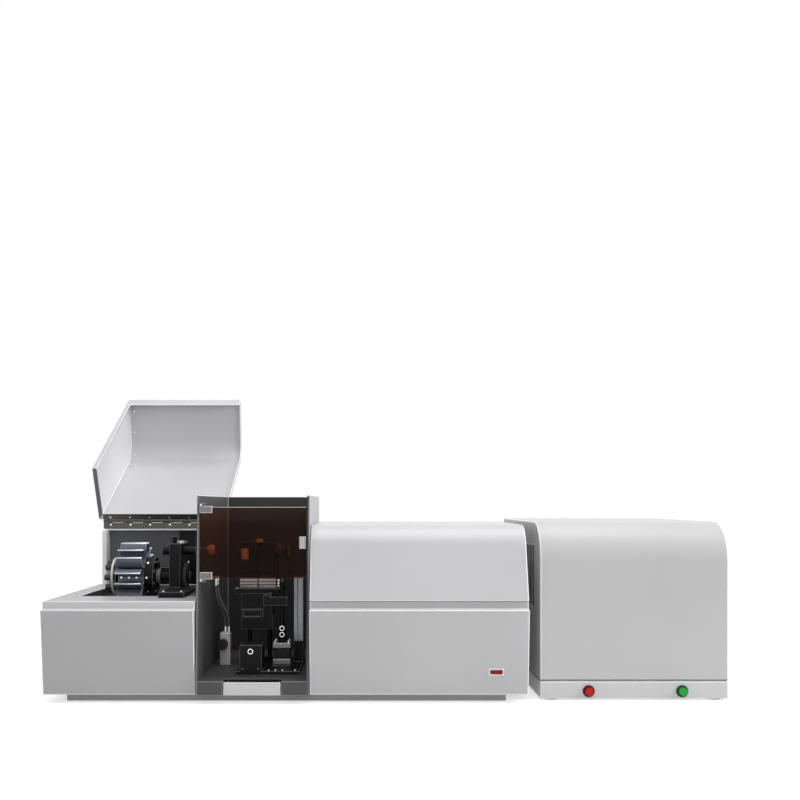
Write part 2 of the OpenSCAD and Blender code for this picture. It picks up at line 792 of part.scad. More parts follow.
// Black casting: foot plate, front block, motor pad and foot of the column
column_x = x_mid + 74;
column_y = 230;
column_w = 22;
column_z0 = floor_z + 57;
module lift_base() place() color(black) difference() {
    union() {
        foot_x = furnace_x - 34;
        block(foot_x, block_front_y, floor_z, column_x + column_w - foot_x, guide_y + 20 - block_front_y,
            base_foot_h);
        block(furnace_x - 24, block_front_y, floor_z, 49, 57, 66);
        block(motor_x - motor_w / 2, motor_y - motor_w / 2, floor_z, motor_w, motor_w, pad_z - floor_z);
        block(column_x, column_y, floor_z, column_w, column_w, column_z0 - floor_z);
    }
    rod_y(furnace_x, block_front_y - cut, floor_z + 52, 12, 5);
    for (s = [-1, 1])
        rod_z(furnace_x + s * guide_off, guide_y, floor_z + 2, base_foot_h, guide_d / 2);
}

// Slotted aluminium extrusion on its foot
module lift_column() place() color(silver) {
    slot_w = 6;
    slot_d = 5;
    top = shield_z - 12;
    translate([column_x, column_y, column_z0]) difference() {
        cube([column_w, column_w, top - column_z0]);
        for (p = [[column_w / 2 - slot_w / 2, -cut], [column_w / 2 - slot_w / 2, column_w - slot_d]])
            translate([p[0], p[1], -cut]) cube([slot_w, slot_d + cut, top]);
        for (p = [[-cut, column_w / 2 - slot_w / 2], [column_w - slot_d, column_w / 2 - slot_w / 2]])
            translate([p[0], p[1], -cut]) cube([slot_d + cut, slot_w, top]);
    }
}

module guide_rods() place() color(steel) for (s = [-1, 1])
    rod_z(furnace_x + s * guide_off, guide_y, floor_z + 2,
        platform_z - lift_travel - 4 - floor_z - 2, guide_d / 2);

// Stepper motor with metal end caps round a dark stack
module lift_motor() place() color(silver) difference() {
    cap_h = 11;
    union() {
        for (z = [pad_z, pad_z + motor_h - cap_h])
            block(motor_x - motor_w / 2, motor_y - motor_w / 2, z, motor_w, motor_w, cap_h);
        block(motor_x - motor_w / 2 + 1, motor_y - motor_w / 2 + 1, pad_z + cap_h - cut, motor_w - 2,
            motor_w - 2, motor_h - 2 * cap_h + 2 * cut);
    }
    rod_z(motor_x, motor_y, pad_z + motor_h - 14, 15, motor_shaft_r + running_gap);
}

// Lead screw with its coupling and the motor shaft below
module lift_screw() place() color(silver) {
    rod_z(motor_x, motor_y, pad_z + motor_h - 12, 15, motor_shaft_r);
    difference() {
        rod_z(motor_x, motor_y, screw_bottom, coupling_h, coupling_r);
        for (z = [screw_bottom + 9, screw_bottom + 22]) translate([motor_x, motor_y, z]) difference() {
            cylinder(h = 3, r = coupling_r + cut);
            translate([0, 0, -cut]) cylinder(h = 3 + 2 * cut, r = coupling_r - 1);
        }
    }
    rod_z(motor_x, motor_y, screw_bottom + coupling_h - cut, screw_top - screw_bottom - coupling_h + cut,
        screw_d / 2);
}

// Platform on two guide bushes, a hanging web with a loop, and the arm to the nut
module lift_carriage() place() color(black) {
    under = platform_z - platform_t;
    web_x = furnace_x - 36;
    difference() {
        union() {
            block(platform_x, platform_y, under, platform_w, platform_d, platform_t);
            for (s = [-1, 1])
                rod_z(furnace_x + s * guide_off, guide_y, under - bush_len, bush_len + 1, bush_r);
            block(web_x, platform_y + 4, under - 84, 72, 8, 85);
            block(web_x, platform_y + 4 - 7, under - 57, 50, 8, 20);
            block(furnace_x + 20, motor_y - 12, nut_z, motor_x + 12 - furnace_x - 20, 24, nut_h);
            block(furnace_x + 20, motor_y - 12, nut_z, 16, platform_y + 16 - motor_y + 12, under - nut_z + 1);
        }
        for (s = [-1, 1])
            rod_z(furnace_x + s * guide_off, guide_y, under - bush_len - cut, bush_len + platform_t + 2 * cut,
                guide_d / 2 + running_gap);
        block(web_x + 5, platform_y - 4, under - 53, 40, 7, 12);
        rod_z(motor_x, motor_y, nut_z - cut, nut_h + 2 * cut, screw_d / 2 + running_gap);
    }
}

// Two ribbed clamp blocks with the seat of the tube between them
module furnace_blocks() place() color(silver) difference() {
    for (x = [block_x0, block_x1]) {
        block(x, block_y, platform_z, block_w, block_d, rib_top - platform_z);
        block(x, block_y + head_set, rib_top - cut, block_w, block_d - head_set, block_top - rib_top + cut);
    }
    for (x = [block_x0, block_x1])
        for (i = [0:3])
            block(x - cut, block_y - cut, platform_z + 5 + i * rib_pitch, block_w + 2 * cut, rib_deep + cut,
                rib_gap);
    rod_x(block_x0 - cut, optics_y, optics_z, 2 * block_w + block_gap + 2 * cut, tube_d / 2);
    rod_z(furnace_x, optics_y, optics_z, block_top - optics_z + cut, 4);
}

module graphite_tube() place() color([0.13, 0.13, 0.14]) difference() {
    rod_x(furnace_x - 24, optics_y, optics_z, 48, tube_d / 2);
    rod_x(furnace_x - 24 - cut, optics_y, optics_z, 48 + 2 * cut, tube_bore / 2);
    rod_z(furnace_x, optics_y, optics_z, tube_d, 1);
}

// Window caps at the ends, a longer one at the right, the dosing funnel, and the clamp knob on its arm
window_cap = 9;
window_r = 9;
long_cap = 28;
clamp_r = 8.5;
clamp_h = 24;
clamp_arm_t = 6;
clamp_out = 12;
module furnace_fittings() place() color([0.78, 0.70, 0.52]) {
    right = block_x1 + block_w;
    head_y = block_y + head_set;
    clamp_x = block_x0 + 12;
    clamp_z = optics_z + 6 - clamp_h;
    difference() {
        union() {
            for (x = [block_x0 - window_cap, right]) rod_x(x, optics_y, optics_z, window_cap, window_r + 8);
            rod_x(right, optics_y, optics_z, long_cap, window_r + 3);
        }
        for (x = [block_x0 - window_cap, right])
            rod_x(x - cut, optics_y, optics_z, long_cap + 2 * cut, window_r);
    }
    difference() {
        rod_z(furnace_x, optics_y, block_top, 8, window_r);
        rod_z(furnace_x, optics_y, block_top - cut, 8 + 2 * cut, 3);
    }
    block(clamp_x - clamp_r, head_y - clamp_out - clamp_r, clamp_z - clamp_arm_t, 2 * clamp_r,
        clamp_out + clamp_r, clamp_arm_t);
    rod_z(clamp_x, head_y - clamp_out, clamp_z - cut, clamp_h + cut, clamp_r);
}

module gas_valve() place() color([0.68, 0.66, 0.62]) difference() {
    block(valve_x, valve_y, floor_z, valve_w, valve_d, valve_h);
    rod_y(knob_x, valve_y - cut, knob_z, 14 + cut, stem_r + running_gap);
}

module valve_knob() place() color(black) {
    difference() {
        rod_y(knob_x, valve_y - slide_gap - knob_len, knob_z, knob_len, knob_d / 2);
        for (k = [0:15]) translate([knob_x, 0, knob_z]) rotate([0, 22.5 * k, 0])
            rod_y(0, valve_y - slide_gap - knob_len - cut, knob_d / 2 + 0.6, knob_len + 2 * cut, 1.4);
    }
    rod_y(knob_x, valve_y - slide_gap - 1, knob_z, 13, stem_r);
}

// Hose tails on the valve and elbows through the compartment's left wall
module gas_fittings() place() color([0.80, 0.70, 0.45]) {
    for (s = [-1, 1])
        rod_z(fit_x + s * fit_dx, valve_y + valve_d / 2, valve_top, fit_h, fit_r);
    for (i = [0, 1]) {
        y = elbow_y + i * elbow_step;
        rod_x(x_sample + wall, y, elbow_z, liner_t + 1, stem_r);
        rod_x(x_in0, y, elbow_z, elbow_x + fit_r - x_in0, fit_r);
        rod_z(elbow_x, y, elbow_z - elbow_drop, elbow_drop, fit_r);
    }
}

// Two gas hoses from the valve up to the left wall, each held at both ends
module gas_tubes() place() color([0.55, 0.56, 0.58]) for (i = [0, 1]) {
    from = [fit_x + (2 * i - 1) * fit_dx, valve_y + valve_d / 2, valve_top + fit_h];
    to = [elbow_x, elbow_y + i * elbow_step, elbow_z - elbow_drop];
    up = from + [0, 0, hose_straight];
    down = to - [0, 0, hose_straight];
    a = from + [0, 0, hose_bend];
    b = to - [0, 0, hose_bend];
    curve = [for (k = [0:12]) let (t = k / 12)
        pow(1 - t, 3) * up + 3 * t * pow(1 - t, 2) * a + 3 * t * t * (1 - t) * b + pow(t, 3) * down];
    hose(concat([from], curve, [to]), hose_r);
}

module mono_lower() place() color(panel_grey) difference() {
    along_x(x_mono, mono_w) lower_outline();
    along_x(x_mono + wall, mono_w - 2 * wall) lower_inside(shelf_z + cut);
    flange_opening(x_mono, mono_w);
    on_panel(switch_x, switch_z)
        translate([-switch_body_w / 2 - slide_gap, -switch_body_h / 2 - slide_gap, -3 * wall])
        cube([switch_body_w + 2 * slide_gap, switch_body_h + 2 * slide_gap, 6 * wall]);
    rod_y(fan_x, main_d - 2 * wall, fan_z, 3 * wall, fan_r);
    rod_y(port_x, main_d - 2 * wall, port_z, 3 * wall, 5);
    rod_y(port_x + 40, main_d - 2 * wall, port_z, 3 * wall, 5);
    block(port_x + 80, main_d - 2 * wall, port_z - 12, 28, 3 * wall, 20);
}

module mono_cover_shell() difference() {
    along_x(x_mono, mono_w) polygon(cover_outline(cover_set, shelf_z, cover_z, cover_r, main_d));
    along_x(x_mono + wall, mono_w - 2 * wall)
        polygon(cover_inside(cover_set, shelf_z, cover_z, cover_r, main_d - wall, wall));
    rod_x(x_mono - cut, optics_y, optics_z, wall + 2 * cut, window_d / 2);
}
// The cover's inturned lower edge stands on the rim of the lower housing
module cover_foot() block(x_mono, cover_set + wall / 2, shelf_z, mono_w, band_set + wall / 2 - cover_set, wall);
module mono_cover() place() color(light_grey) {
    mono_cover_shell();
    cover_foot();
}

// Puts what is drawn flat onto the leaning front panel, facing out
module on_panel(x, z) translate([x, panel_y(z), z]) rotate([90 + panel_tilt, 0, 0]) children();

module switch_bezel() place() color([0.90, 0.90, 0.88]) on_panel(switch_x, switch_z) difference() {
    union() {
        translate([-switch_w / 2, -switch_h / 2, 0]) cube([switch_w, switch_h, bezel_t]);
        translate([-switch_body_w / 2, -switch_body_h / 2, -switch_deep])
            cube([switch_body_w, switch_body_h, switch_deep + 1]);
    }
    translate([-rocker_w / 2 - clear_gap, -rocker_h / 2 - clear_gap, -switch_deep + 4])
        cube([rocker_w + 2 * clear_gap, rocker_h + 2 * clear_gap, switch_deep + 10]);
    translate([0, 0, -rocker_pivot]) rod_y(0, -switch_body_h / 2 - cut, 0, switch_body_h + 2 * cut,
        rocker_pin_r + running_gap);
}

// Rocker pressed at its left end, turning on an upright axis
module rocker() place() color([0.75, 0.06, 0.05]) on_panel(switch_x, switch_z)
    translate([0, 0, -rocker_pivot]) rotate([0, -rocker_swing / 2, 0]) {
    rod_y(0, -switch_body_h / 2, 0, switch_body_h, rocker_pin_r);
    translate([0, rocker_h / 2, 0]) rotate([90, 0, 0]) linear_extrude(rocker_h) polygon([
        [-rocker_w / 2 + 0.8, 0], [-rocker_w / 2 + 0.8, rocker_pivot + bezel_t + 2.4],
        [0, rocker_pivot + bezel_t + 0.6], [rocker_w / 2 - 0.8, rocker_pivot + bezel_t + 2.4],
        [rocker_w / 2 - 0.8, 0], [0, -3]]);
}

// Cast plate on four legs that carries the optics
module optical_bed() place() color(silver) {
    difference() {
        block(bed_x, bed_y, bed_z - bed_t, bed_w, bed_d, bed_t);
        rod_z(grating_x, grating_y, bed_z - bed_t - cut, bed_t + 2 * cut, spindle_r + running_gap);
    }
    for (x = [bed_x + 30, bed_x + bed_w - 30])
        for (y = [bed_y + 30, bed_y + bed_d - 30])
            rod_z(x, y, body_z, bed_z - bed_t - body_z, leg_r);
}

module slit_blocks() place() color(black) for (y = [optics_y, exit_y]) difference() {
    block(slit_x, y - 14, bed_z, 18, 28, optics_z + 22 - bed_z);
    rod_x(slit_x - cut, y, optics_z, 8 + cut, 9);
    block(slit_x - cut, y - 0.5, optics_z - 8, 18 + 2 * cut, 1, 16);
}

module mono_mirrors() place() color(steel) for (y = [optics_y - 40, optics_y + 55]) difference() {
    union() {
        block(mirror_x, y - 32, bed_z, 10, 64, 12);
        rod_x(mirror_x, y, optics_z, 10, 30);
        block(mirror_x + 1, y - 8, bed_z + 1, 8, 16, optics_z - bed_z);
    }
    translate([mirror_x - 118, y, optics_z]) sphere(r = 120);
}

// Turntable on a spindle in the bed, with the ruled grating upright on it
module grating_table() place() color(steel) {
    rod_z(grating_x, grating_y, bed_z + slide_gap, 8, table_r);
    block(grating_x - 5, grating_y - 26, bed_z + slide_gap + 7, 10, 52, 62);
    rod_z(grating_x, grating_y, bed_z - bed_t, bed_t + 4, spindle_r);
}

module pmt_housing() place() color(black) {
    block(slit_x - 52, exit_y - 25, bed_z, 50, 50, 12);
    rod_z(slit_x - 27, exit_y, bed_z + 11, 85, 21);
}

module power_module() place() color(steel)
    block(power_x, power_y, body_z, power_w, power_d, power_h);

module control_board() place() color([0.10, 0.32, 0.18]) {
    inset = 2 * board_t + 4;
    for (x = [board_x + inset, board_x + board_w - inset])
        for (y = [board_y + inset, board_y + board_w - inset]) rod_z(x, y, body_z, stand_h, 2 * board_t);
    block(board_x, board_y, body_z + stand_h, board_w, board_w, board_t);
    for (i = [0:2])
        block(board_x + chip_w * (1 + 1.6 * i), board_y + board_w / 3, body_z + stand_h + board_t, chip_w,
            chip_w, 2 * board_t);
}

// Axial fan on the inside of the back panel
module fan_frame() place() color(black) {
    fan_y = main_d - wall - fan_t;
    strut = 6;
    difference() {
        block(fan_x - fan_w / 2, fan_y, fan_z - fan_w / 2, fan_w, fan_t, fan_w);
        rod_y(fan_x, fan_y - cut, fan_z, fan_t + 2 * cut, fan_r);
    }
    difference() {
        union() {
            rod_y(fan_x, fan_y, fan_z, 3, fan_hub_r);
            block(fan_x - fan_r - 2, fan_y, fan_z - strut / 2, 2 * fan_r + 4, 3, strut);
            block(fan_x - strut / 2, fan_y, fan_z - fan_r - 2, strut, 3, 2 * fan_r + 4);
        }
        rod_y(fan_x, fan_y - cut, fan_z, 3 + 2 * cut, 3 + running_gap);
    }
}

module fan_rotor() place() color([0.12, 0.12, 0.13]) {
    fan_y = main_d - wall - fan_t;
    rod_y(fan_x, fan_y + 3 + slide_gap, fan_z, fan_t - 6, fan_hub_r);
    rod_y(fan_x, fan_y + 0.5, fan_z, 4, 3);
    for (k = [0:fan_blades - 1]) translate([fan_x, fan_y + fan_t / 2, fan_z]) rotate([0, 360 * k / fan_blades, 0])
        translate([0, 0, fan_hub_r - 1]) rotate([0, 0, 40])
        translate([-13, -0.9, 0]) cube([26, 1.8, fan_r - fan_hub_r - 2]);
}

// Gas inlets and the mains inlet in the back panel
module rear_ports() place() color(steel) {
    for (x = [port_x, port_x + 40]) difference() {
        union() {
            rod_y(x, main_d, port_z, 5, 9);
            rod_y(x, main_d - wall - 3, port_z, wall + 21, 4.9);
        }
        rod_y(x, main_d - wall - 4, port_z, wall + 24, 3);
    }
    difference() {
        union() {
            block(port_x + 76, main_d, port_z - 16, 36, 3, 28);
            block(port_x + 80.2, main_d - 20, port_z - 11.8, 27.6, 21, 19.6);
        }
        block(port_x + 83, main_d - 16, port_z - 9, 22, 20, 14);
    }
}

module cab_base() place() color(panel_grey) difference() {
    union() {
        block(x_cab, cab_y, cab_lift, cab_w, cab_d, strip_h - cab_lift);
        block(x_cab + cab_wall, cab_y + cab_wall, cab_lift, cab_w - 2 * cab_wall, cab_d - 2 * cab_wall,
            strip_h + cab_lip - cab_lift);
    }
    block(x_cab + cab_wall + wall, cab_y + cab_wall + wall, cab_lift + wall, cab_w - 2 * cab_wall - 2 * wall,
        cab_d - 2 * cab_wall - 2 * wall, strip_h + cab_lip);
    for (x = [red_x, green_x]) rod_y(x, cab_y - cut, button_z, cab_wall + wall + 2 * cut, button_hole_r);
}

// Side outline of the cabinet cover with its rounded front top edge
function cab_outline(t, low) = concat(
    [[cab_y + cab_d - t, low], [cab_y + t, low]],
    [for (i = [0:arc_steps]) let (a = 180 - 90 * i / arc_steps)
        [cab_y + cab_r + (cab_r - t) * cos(a), cab_h - cab_r + (cab_r - t) * sin(a)]],
    [[cab_y + cab_d - t, cab_h - t]]
);
module cab_cover() place() color(light_grey) difference() {
    along_x(x_cab, cab_w) polygon(cab_outline(0, strip_h + cab_seam));
    along_x(x_cab + cab_wall, cab_w - 2 * cab_wall) polygon(cab_outline(cab_wall, strip_h - cut));
    for (i = [0:vent_n - 1])
        block(x_cab - cut, vent_y + i * vent_pitch, vent_z0, cab_wall + 2 * cut, vent_w, vent_z1 - vent_z0);
}

// Rings round the push-buttons, with the guide sleeve behind the strip
module button_bezels() place() color(black) for (x = [red_x, green_x]) difference() {
    union() {
        rod_y(x, cab_y - ring_t, button_z, ring_t, bezel_r);
        rod_y(x, cab_y, button_z, sleeve_len, button_hole_r - running_gap);
    }
    rod_y(x, cab_y - ring_t - cut, button_z, ring_t + button_seat + button_travel + 1 + cut,
        button_r + slide_gap);
}
module push_button(x) rod_y(x, cab_y - ring_t - button_out, button_z, button_out + ring_t + button_seat,
    button_r);
module red_button() place() color([0.80, 0.08, 0.07]) push_button(red_x);
module green_button() place() color([0.08, 0.60, 0.22]) push_button(green_x);

// Laminated core with two windings, bolted to the cabinet floor
module transformer() place() color([0.30, 0.27, 0.24]) {
    z = cab_lift + wall;
    limb = core_w * 0.19;
    difference() {
        block(core_x, core_y, z, core_w, core_d, core_h);
        block(core_x + limb, core_y - cut, z + limb, core_w - 2 * limb, core_d + 2 * cut, core_h - 2 * limb);
    }
    for (x = [core_x + limb / 2, core_x + core_w - limb / 2])
        block(x - coil_w / 2, core_y + core_d / 2 - coil_d / 2, z + limb + 5, coil_w, coil_d, core_h - 2 * limb - 10);
}

base_plate();
rubber_feet();
lamp_tub();
lamp_back();
hinge_leaf();
hinge_pin();
lid_shell();
lid_leaf();
turret_bracket();
turret_motor();
lens_barrel();
turret_hub();
lamp_clips();
socket_disc();
lamp_sockets();
turret_gear();
turret_pinion();
cheek_left();
cheek_right();
sample_liner();
sample_floor();
sill_blocks();
drip_tray();
shield_pivots();
shield_pane();
shield_blocks();
shield_handle();
lift_base();
lift_column();
guide_rods();
lift_motor();
lift_screw();
lift_carriage();
furnace_blocks();
graphite_tube();
furnace_fittings();
gas_valve();
valve_knob();
gas_fittings();
gas_tubes();
mono_lower();
mono_cover();
switch_bezel();
rocker();
optical_bed();
slit_blocks();
mono_mirrors();
grating_table();
pmt_housing();
power_module();
control_board();
fan_frame();
fan_rotor();
rear_ports();
cab_base();
cab_cover();
button_bezels();
red_button();
green_button();
transformer();
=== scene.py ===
import json
import math

import bpy
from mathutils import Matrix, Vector


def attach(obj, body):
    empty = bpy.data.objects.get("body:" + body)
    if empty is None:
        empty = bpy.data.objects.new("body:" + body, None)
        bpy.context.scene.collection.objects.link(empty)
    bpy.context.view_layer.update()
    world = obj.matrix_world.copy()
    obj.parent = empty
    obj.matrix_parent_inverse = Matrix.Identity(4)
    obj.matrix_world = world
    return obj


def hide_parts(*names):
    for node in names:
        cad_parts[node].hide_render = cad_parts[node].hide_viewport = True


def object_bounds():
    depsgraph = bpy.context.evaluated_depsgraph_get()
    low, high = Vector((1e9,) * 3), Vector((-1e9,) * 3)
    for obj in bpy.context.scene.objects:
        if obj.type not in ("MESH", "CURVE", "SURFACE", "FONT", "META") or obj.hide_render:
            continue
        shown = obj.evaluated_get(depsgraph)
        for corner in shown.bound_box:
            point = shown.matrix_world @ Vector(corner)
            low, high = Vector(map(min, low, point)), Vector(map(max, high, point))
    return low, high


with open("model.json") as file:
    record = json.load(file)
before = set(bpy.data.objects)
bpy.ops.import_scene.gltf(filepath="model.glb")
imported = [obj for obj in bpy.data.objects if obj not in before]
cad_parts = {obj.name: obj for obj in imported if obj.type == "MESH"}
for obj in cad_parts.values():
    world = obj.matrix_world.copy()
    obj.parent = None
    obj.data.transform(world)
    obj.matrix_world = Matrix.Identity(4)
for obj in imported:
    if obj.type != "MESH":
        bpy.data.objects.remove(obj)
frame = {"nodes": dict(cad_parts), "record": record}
cad_low, cad_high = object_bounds()
bpy.ops.object.select_all(action="DESELECT")


# Camera: level, in front of the instrument and a little left of its middle, at the
# height of the sample compartment's top edge.
def spot(x, y, z):
    """A point in metres, from millimetres off the unit's left end, its front edge and the bench."""
    return Vector((cad_low[0] + x / 1000, cad_low[1] + y / 1000, z / 1000))


bpy.ops.object.camera_add(location=spot(698.4, -2126, 430.6), rotation=(math.pi / 2, 0, 0))
camera = bpy.context.object
camera.name = "camera"
camera.data.lens = 45.0
camera.data.sensor_width = 36.0
camera.data.shift_x = 0.04
camera.data.shift_y = 0.12875
bpy.context.scene.camera = camera
bpy.context.scene.view_settings.view_transform = "Standard"


# Studio: a pale bench top, a white room and three large soft lamps, the strongest
# from the upper right. The room shows white to the eye and in reflections.
def seen_directly(tree):
    """One for rays from the eye, off gloss and through glass, nought for light on matt surfaces."""
    path = tree.nodes.new("ShaderNodeLightPath")
    first = tree.nodes.new("ShaderNodeMath")
    first.operation = "MAXIMUM"
    tree.links.new(path.outputs["Is Camera Ray"], first.inputs[0])
    tree.links.new(path.outputs["Is Transmission Ray"], first.inputs[1])
    both = tree.nodes.new("ShaderNodeMath")
    both.operation = "MAXIMUM"
    tree.links.new(first.outputs[0], both.inputs[0])
    tree.links.new(path.outputs["Is Glossy Ray"], both.inputs[1])
    return both.outputs[0]


room = bpy.data.worlds.new("white_room")
bpy.context.scene.world = room
room.use_nodes = True
tree = room.node_tree
strength = tree.nodes.new("ShaderNodeMapRange")
strength.inputs["To Min"].default_value = 0.36
strength.inputs["To Max"].default_value = 1.0
tree.links.new(seen_directly(tree), strength.inputs["Value"])
tree.nodes["Background"].inputs["Color"].default_value = (1, 1, 1, 1)
tree.links.new(strength.outputs[0], tree.nodes["Background"].inputs["Strength"])

bpy.ops.mesh.primitive_plane_add(size=14.0, location=(0, 2.0, 0))
bench = bpy.context.object
bench.name = "bench_top"
top = bpy.data.materials.new("pale_bench")
top.use_nodes = True
tree = top.node_tree
shader = tree.nodes["Principled BSDF"]
shader.inputs["Base Color"].default_value = (0.80, 0.80, 0.80, 1)
shader.inputs["Roughness"].default_value = 0.55
glow = tree.nodes.new("ShaderNodeEmission")
glow.inputs["Color"].default_value = (1, 1, 1, 1)
amount = tree.nodes.new("ShaderNodeMath")
amount.operation = "MULTIPLY"
amount.inputs[1].default_value = 0.60
tree.links.new(seen_directly(tree), amount.inputs[0])
tree.links.new(amount.outputs[0], glow.inputs["Strength"])
add = tree.nodes.new("ShaderNodeAddShader")
tree.links.new(shader.outputs[0], add.inputs[0])
tree.links.new(glow.outputs[0], add.inputs[1])
tree.links.new(add.outputs[0], tree.nodes["Material Output"].inputs["Surface"])
bench.data.materials.append(top)

for name, place, aim, side, power in [
        ("key_lamp", (3.2, -1.1, 1.7), (0.0, 0.0, 0.3), 1.3, 56.0),
        ("fill_lamp", (-0.6, -3.2, 1.3), (0.0, 0.0, 0.25), 2.0, 15.0),
        ("top_lamp", (0.2, -0.3, 3.0), (0.1, 0.0, 0.2), 2.2, 58.0)]:
    bpy.ops.object.light_add(type="AREA", location=place)
    lamp = bpy.context.object
    lamp.name = name
    lamp.data.size = side
    lamp.data.energy = power
    lamp.rotation_euler = (Vector(aim) - Vector(place)).to_track_quat("-Z", "Y").to_euler()


# Plinth: a folded steel tray painted grey that stands back under the housings, on
# six rubber feet; the cabinet has four thin feet of its own.
def chosen(piece):
    """Makes the piece the only selected one and the active one."""
    if bpy.context.object is not None and bpy.context.object.mode != "OBJECT":
        bpy.ops.object.mode_set(mode="OBJECT")
    bpy.ops.object.select_all(action="DESELECT")
    piece.select_set(True)
    bpy.context.view_layer.objects.active = piece


def in_edit_mode(piece):
    """Goes into edit mode with all of the piece selected."""
    chosen(piece)
    bpy.ops.object.mode_set(mode="EDIT")
    bpy.ops.mesh.select_all(action="SELECT")


def settle(piece, body, finish=None, angle=35.0):
    """Puts the piece's place into its mesh, smooths it, gives it its finish and its body."""
    chosen(piece)
    bpy.ops.object.transform_apply(location=True, rotation=True, scale=True)
    bpy.ops.object.shade_smooth_by_angle(angle=math.radians(angle))
    if finish is not None:
        piece.data.materials.clear()
        piece.data.materials.append(finish)
    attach(piece, body)


def pick_edges(piece, wanted):
    """Goes into edit mode with only the edges whose two ends pass the test selected."""
    in_edit_mode(piece)
    bpy.ops.mesh.select_mode(type="EDGE")
    bpy.ops.mesh.select_all(action="DESELECT")
    bpy.ops.object.mode_set(mode="OBJECT")
    corners = piece.data.vertices
    for edge in piece.data.edges:
        edge.select = wanted(corners[edge.vertices[0]].co, corners[edge.vertices[1]].co)
    bpy.ops.object.mode_set(mode="EDIT")


def broken_edges(node, width, finish, edge=None, segments=2):
    """A copy of a solid with its sharp edges rounded, shown in the solid's place."""
    chosen(frame["nodes"][node])
    bpy.ops.object.duplicate()
    piece = bpy.context.object
    piece.name = node + "_piece"
    piece.data.materials.clear()
    piece.data.materials.append(finish)
    piece.data.materials.append(edge or finish)
    in_edit_mode(piece)
    bpy.ops.mesh.remove_doubles(threshold=1e-5)
    bpy.ops.object.mode_set(mode="OBJECT")
    rounding = piece.modifiers.new("rounding", "BEVEL")
    rounding.width = width
    rounding.segments = segments
    rounding.limit_method = "ANGLE"
    rounding.angle_limit = math.radians(40)
    rounding.use_clamp_overlap = False
    rounding.loop_slide = False
    # The rounded faces take the second finish; where that is lighter than the first, it is a
    # painted highlight along the edges.
    rounding.material = 1
    bpy.ops.object.modifier_apply(modifier="rounding")
    in_edit_mode(piece)
    bpy.ops.mesh.quads_convert_to_tris(quad_method="BEAUTY", ngon_method="CLIP")
    bodies = frame["record"]["behaviour"]["bodies"]
    settle(piece, next(body for body in bodies if node in bodies[body]))
    even = piece.modifiers.new("even_shade", "WEIGHTED_NORMAL")
    even.keep_sharp = True
    bpy.ops.object.modifier_apply(modifier="even_shade")
    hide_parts(node)
    return piece


def dressed(node, finish):
    """Gives its finish to a solid that keeps its own mesh."""
    solid = frame["nodes"][node]
    solid.data.materials.clear()
    solid.data.materials.append(finish)


def second_finish(piece, finish, wanted):
    """Gives the faces whose middle passes the test another finish."""
    piece.data.materials.append(finish)
    for face in piece.data.polygons:
        if wanted(face.center, face.normal):
            face.material_index = len(piece.data.materials) - 1


def surface(name, rough, metal=0.0):
    """A new material with its shader and the pieces' own coordinates."""
    made = bpy.data.materials.new(name)
    made.use_nodes = True
    tree = made.node_tree
    shader = tree.nodes["Principled BSDF"]
    shader.inputs["Roughness"].default_value = rough
    shader.inputs["Metallic"].default_value = metal
    coords = tree.nodes.new("ShaderNodeTexCoord")
    return made, tree, shader, coords.outputs["Object"]


def cloud(tree, coords, scale, detail=4.0, stretch=(1, 1, 1)):
    """A noise pattern in the piece's own coordinates, squeezed along an axis if asked."""
    turn = tree.nodes.new("ShaderNodeMapping")
    turn.inputs["Scale"].default_value = stretch
    tree.links.new(coords, turn.inputs["Vector"])
    noise = tree.nodes.new("ShaderNodeTexNoise")
    noise.inputs["Scale"].default_value = scale
    noise.inputs["Detail"].default_value = detail
    tree.links.new(turn.outputs[0], noise.inputs["Vector"])
    return noise.outputs["Fac"]


def tint(tree, amount, low, high, socket):
    """Runs a socket's colour between two tones along a pattern."""
    ramp = tree.nodes.new("ShaderNodeValToRGB")
    ramp.color_ramp.elements[0].position = 0.35
    ramp.color_ramp.elements[1].position = 0.65
    ramp.color_ramp.elements[0].color = (*low, 1)
    ramp.color_ramp.elements[1].color = (*high, 1)
    tree.links.new(amount, ramp.inputs[0])
    tree.links.new(ramp.outputs[0], socket)


def relief(tree, amount, depth, shader, strength):
    """Makes the surface seem to rise and sink along a pattern."""
    bump = tree.nodes.new("ShaderNodeBump")
    bump.inputs["Strength"].default_value = strength
    bump.inputs["Distance"].default_value = depth
    tree.links.new(amount, bump.inputs["Height"])
    tree.links.new(bump.outputs[0], shader.inputs["Normal"])


def spread(tree, amount, low, high, socket):
    """Runs a socket's value between two ends along a pattern."""
    between = tree.nodes.new("ShaderNodeMapRange")
    between.inputs["From Min"].default_value = 0.3
    between.inputs["From Max"].default_value = 0.7
    between.inputs["To Min"].default_value = low
    between.inputs["To Max"].default_value = high
    tree.links.new(amount, between.inputs["Value"])
    tree.links.new(between.outputs[0], socket)


def shade_of(colour, factor):
    """The colour made darker or lighter, kept under full white."""
    return tuple(min(0.96, c * factor) for c in colour)


def stove_paint(name, colour, rough, gloss=0.5):
    """Sprayed and baked paint on sheet: faint orange peel and slow drifts of tone."""
    made, tree, shader, coords = surface(name, rough)
    shader.inputs["Specular IOR Level"].default_value = gloss
    drift = cloud(tree, coords, 3.5, 3.0)
    tint(tree, drift, shade_of(colour, 0.965), shade_of(colour, 1.02), shader.inputs["Base Color"])
    grain = cloud(tree, coords, 700.0, 3.0)
    spread(tree, grain, rough - 0.05, rough + 0.07, shader.inputs["Roughness"])
    relief(tree, grain, 0.00012, shader, 0.35)
    return made


plinth_grey = stove_paint("plinth_grey_paint", (0.38, 0.38, 0.385), 0.5)
# A lighter grey on the plinth's rounded edges: a painted highlight.
plinth_highlight = stove_paint("plinth_highlight_edge", (0.55, 0.55, 0.555), 0.4)
broken_edges("base_plate", 0.0008, plinth_grey, plinth_highlight)


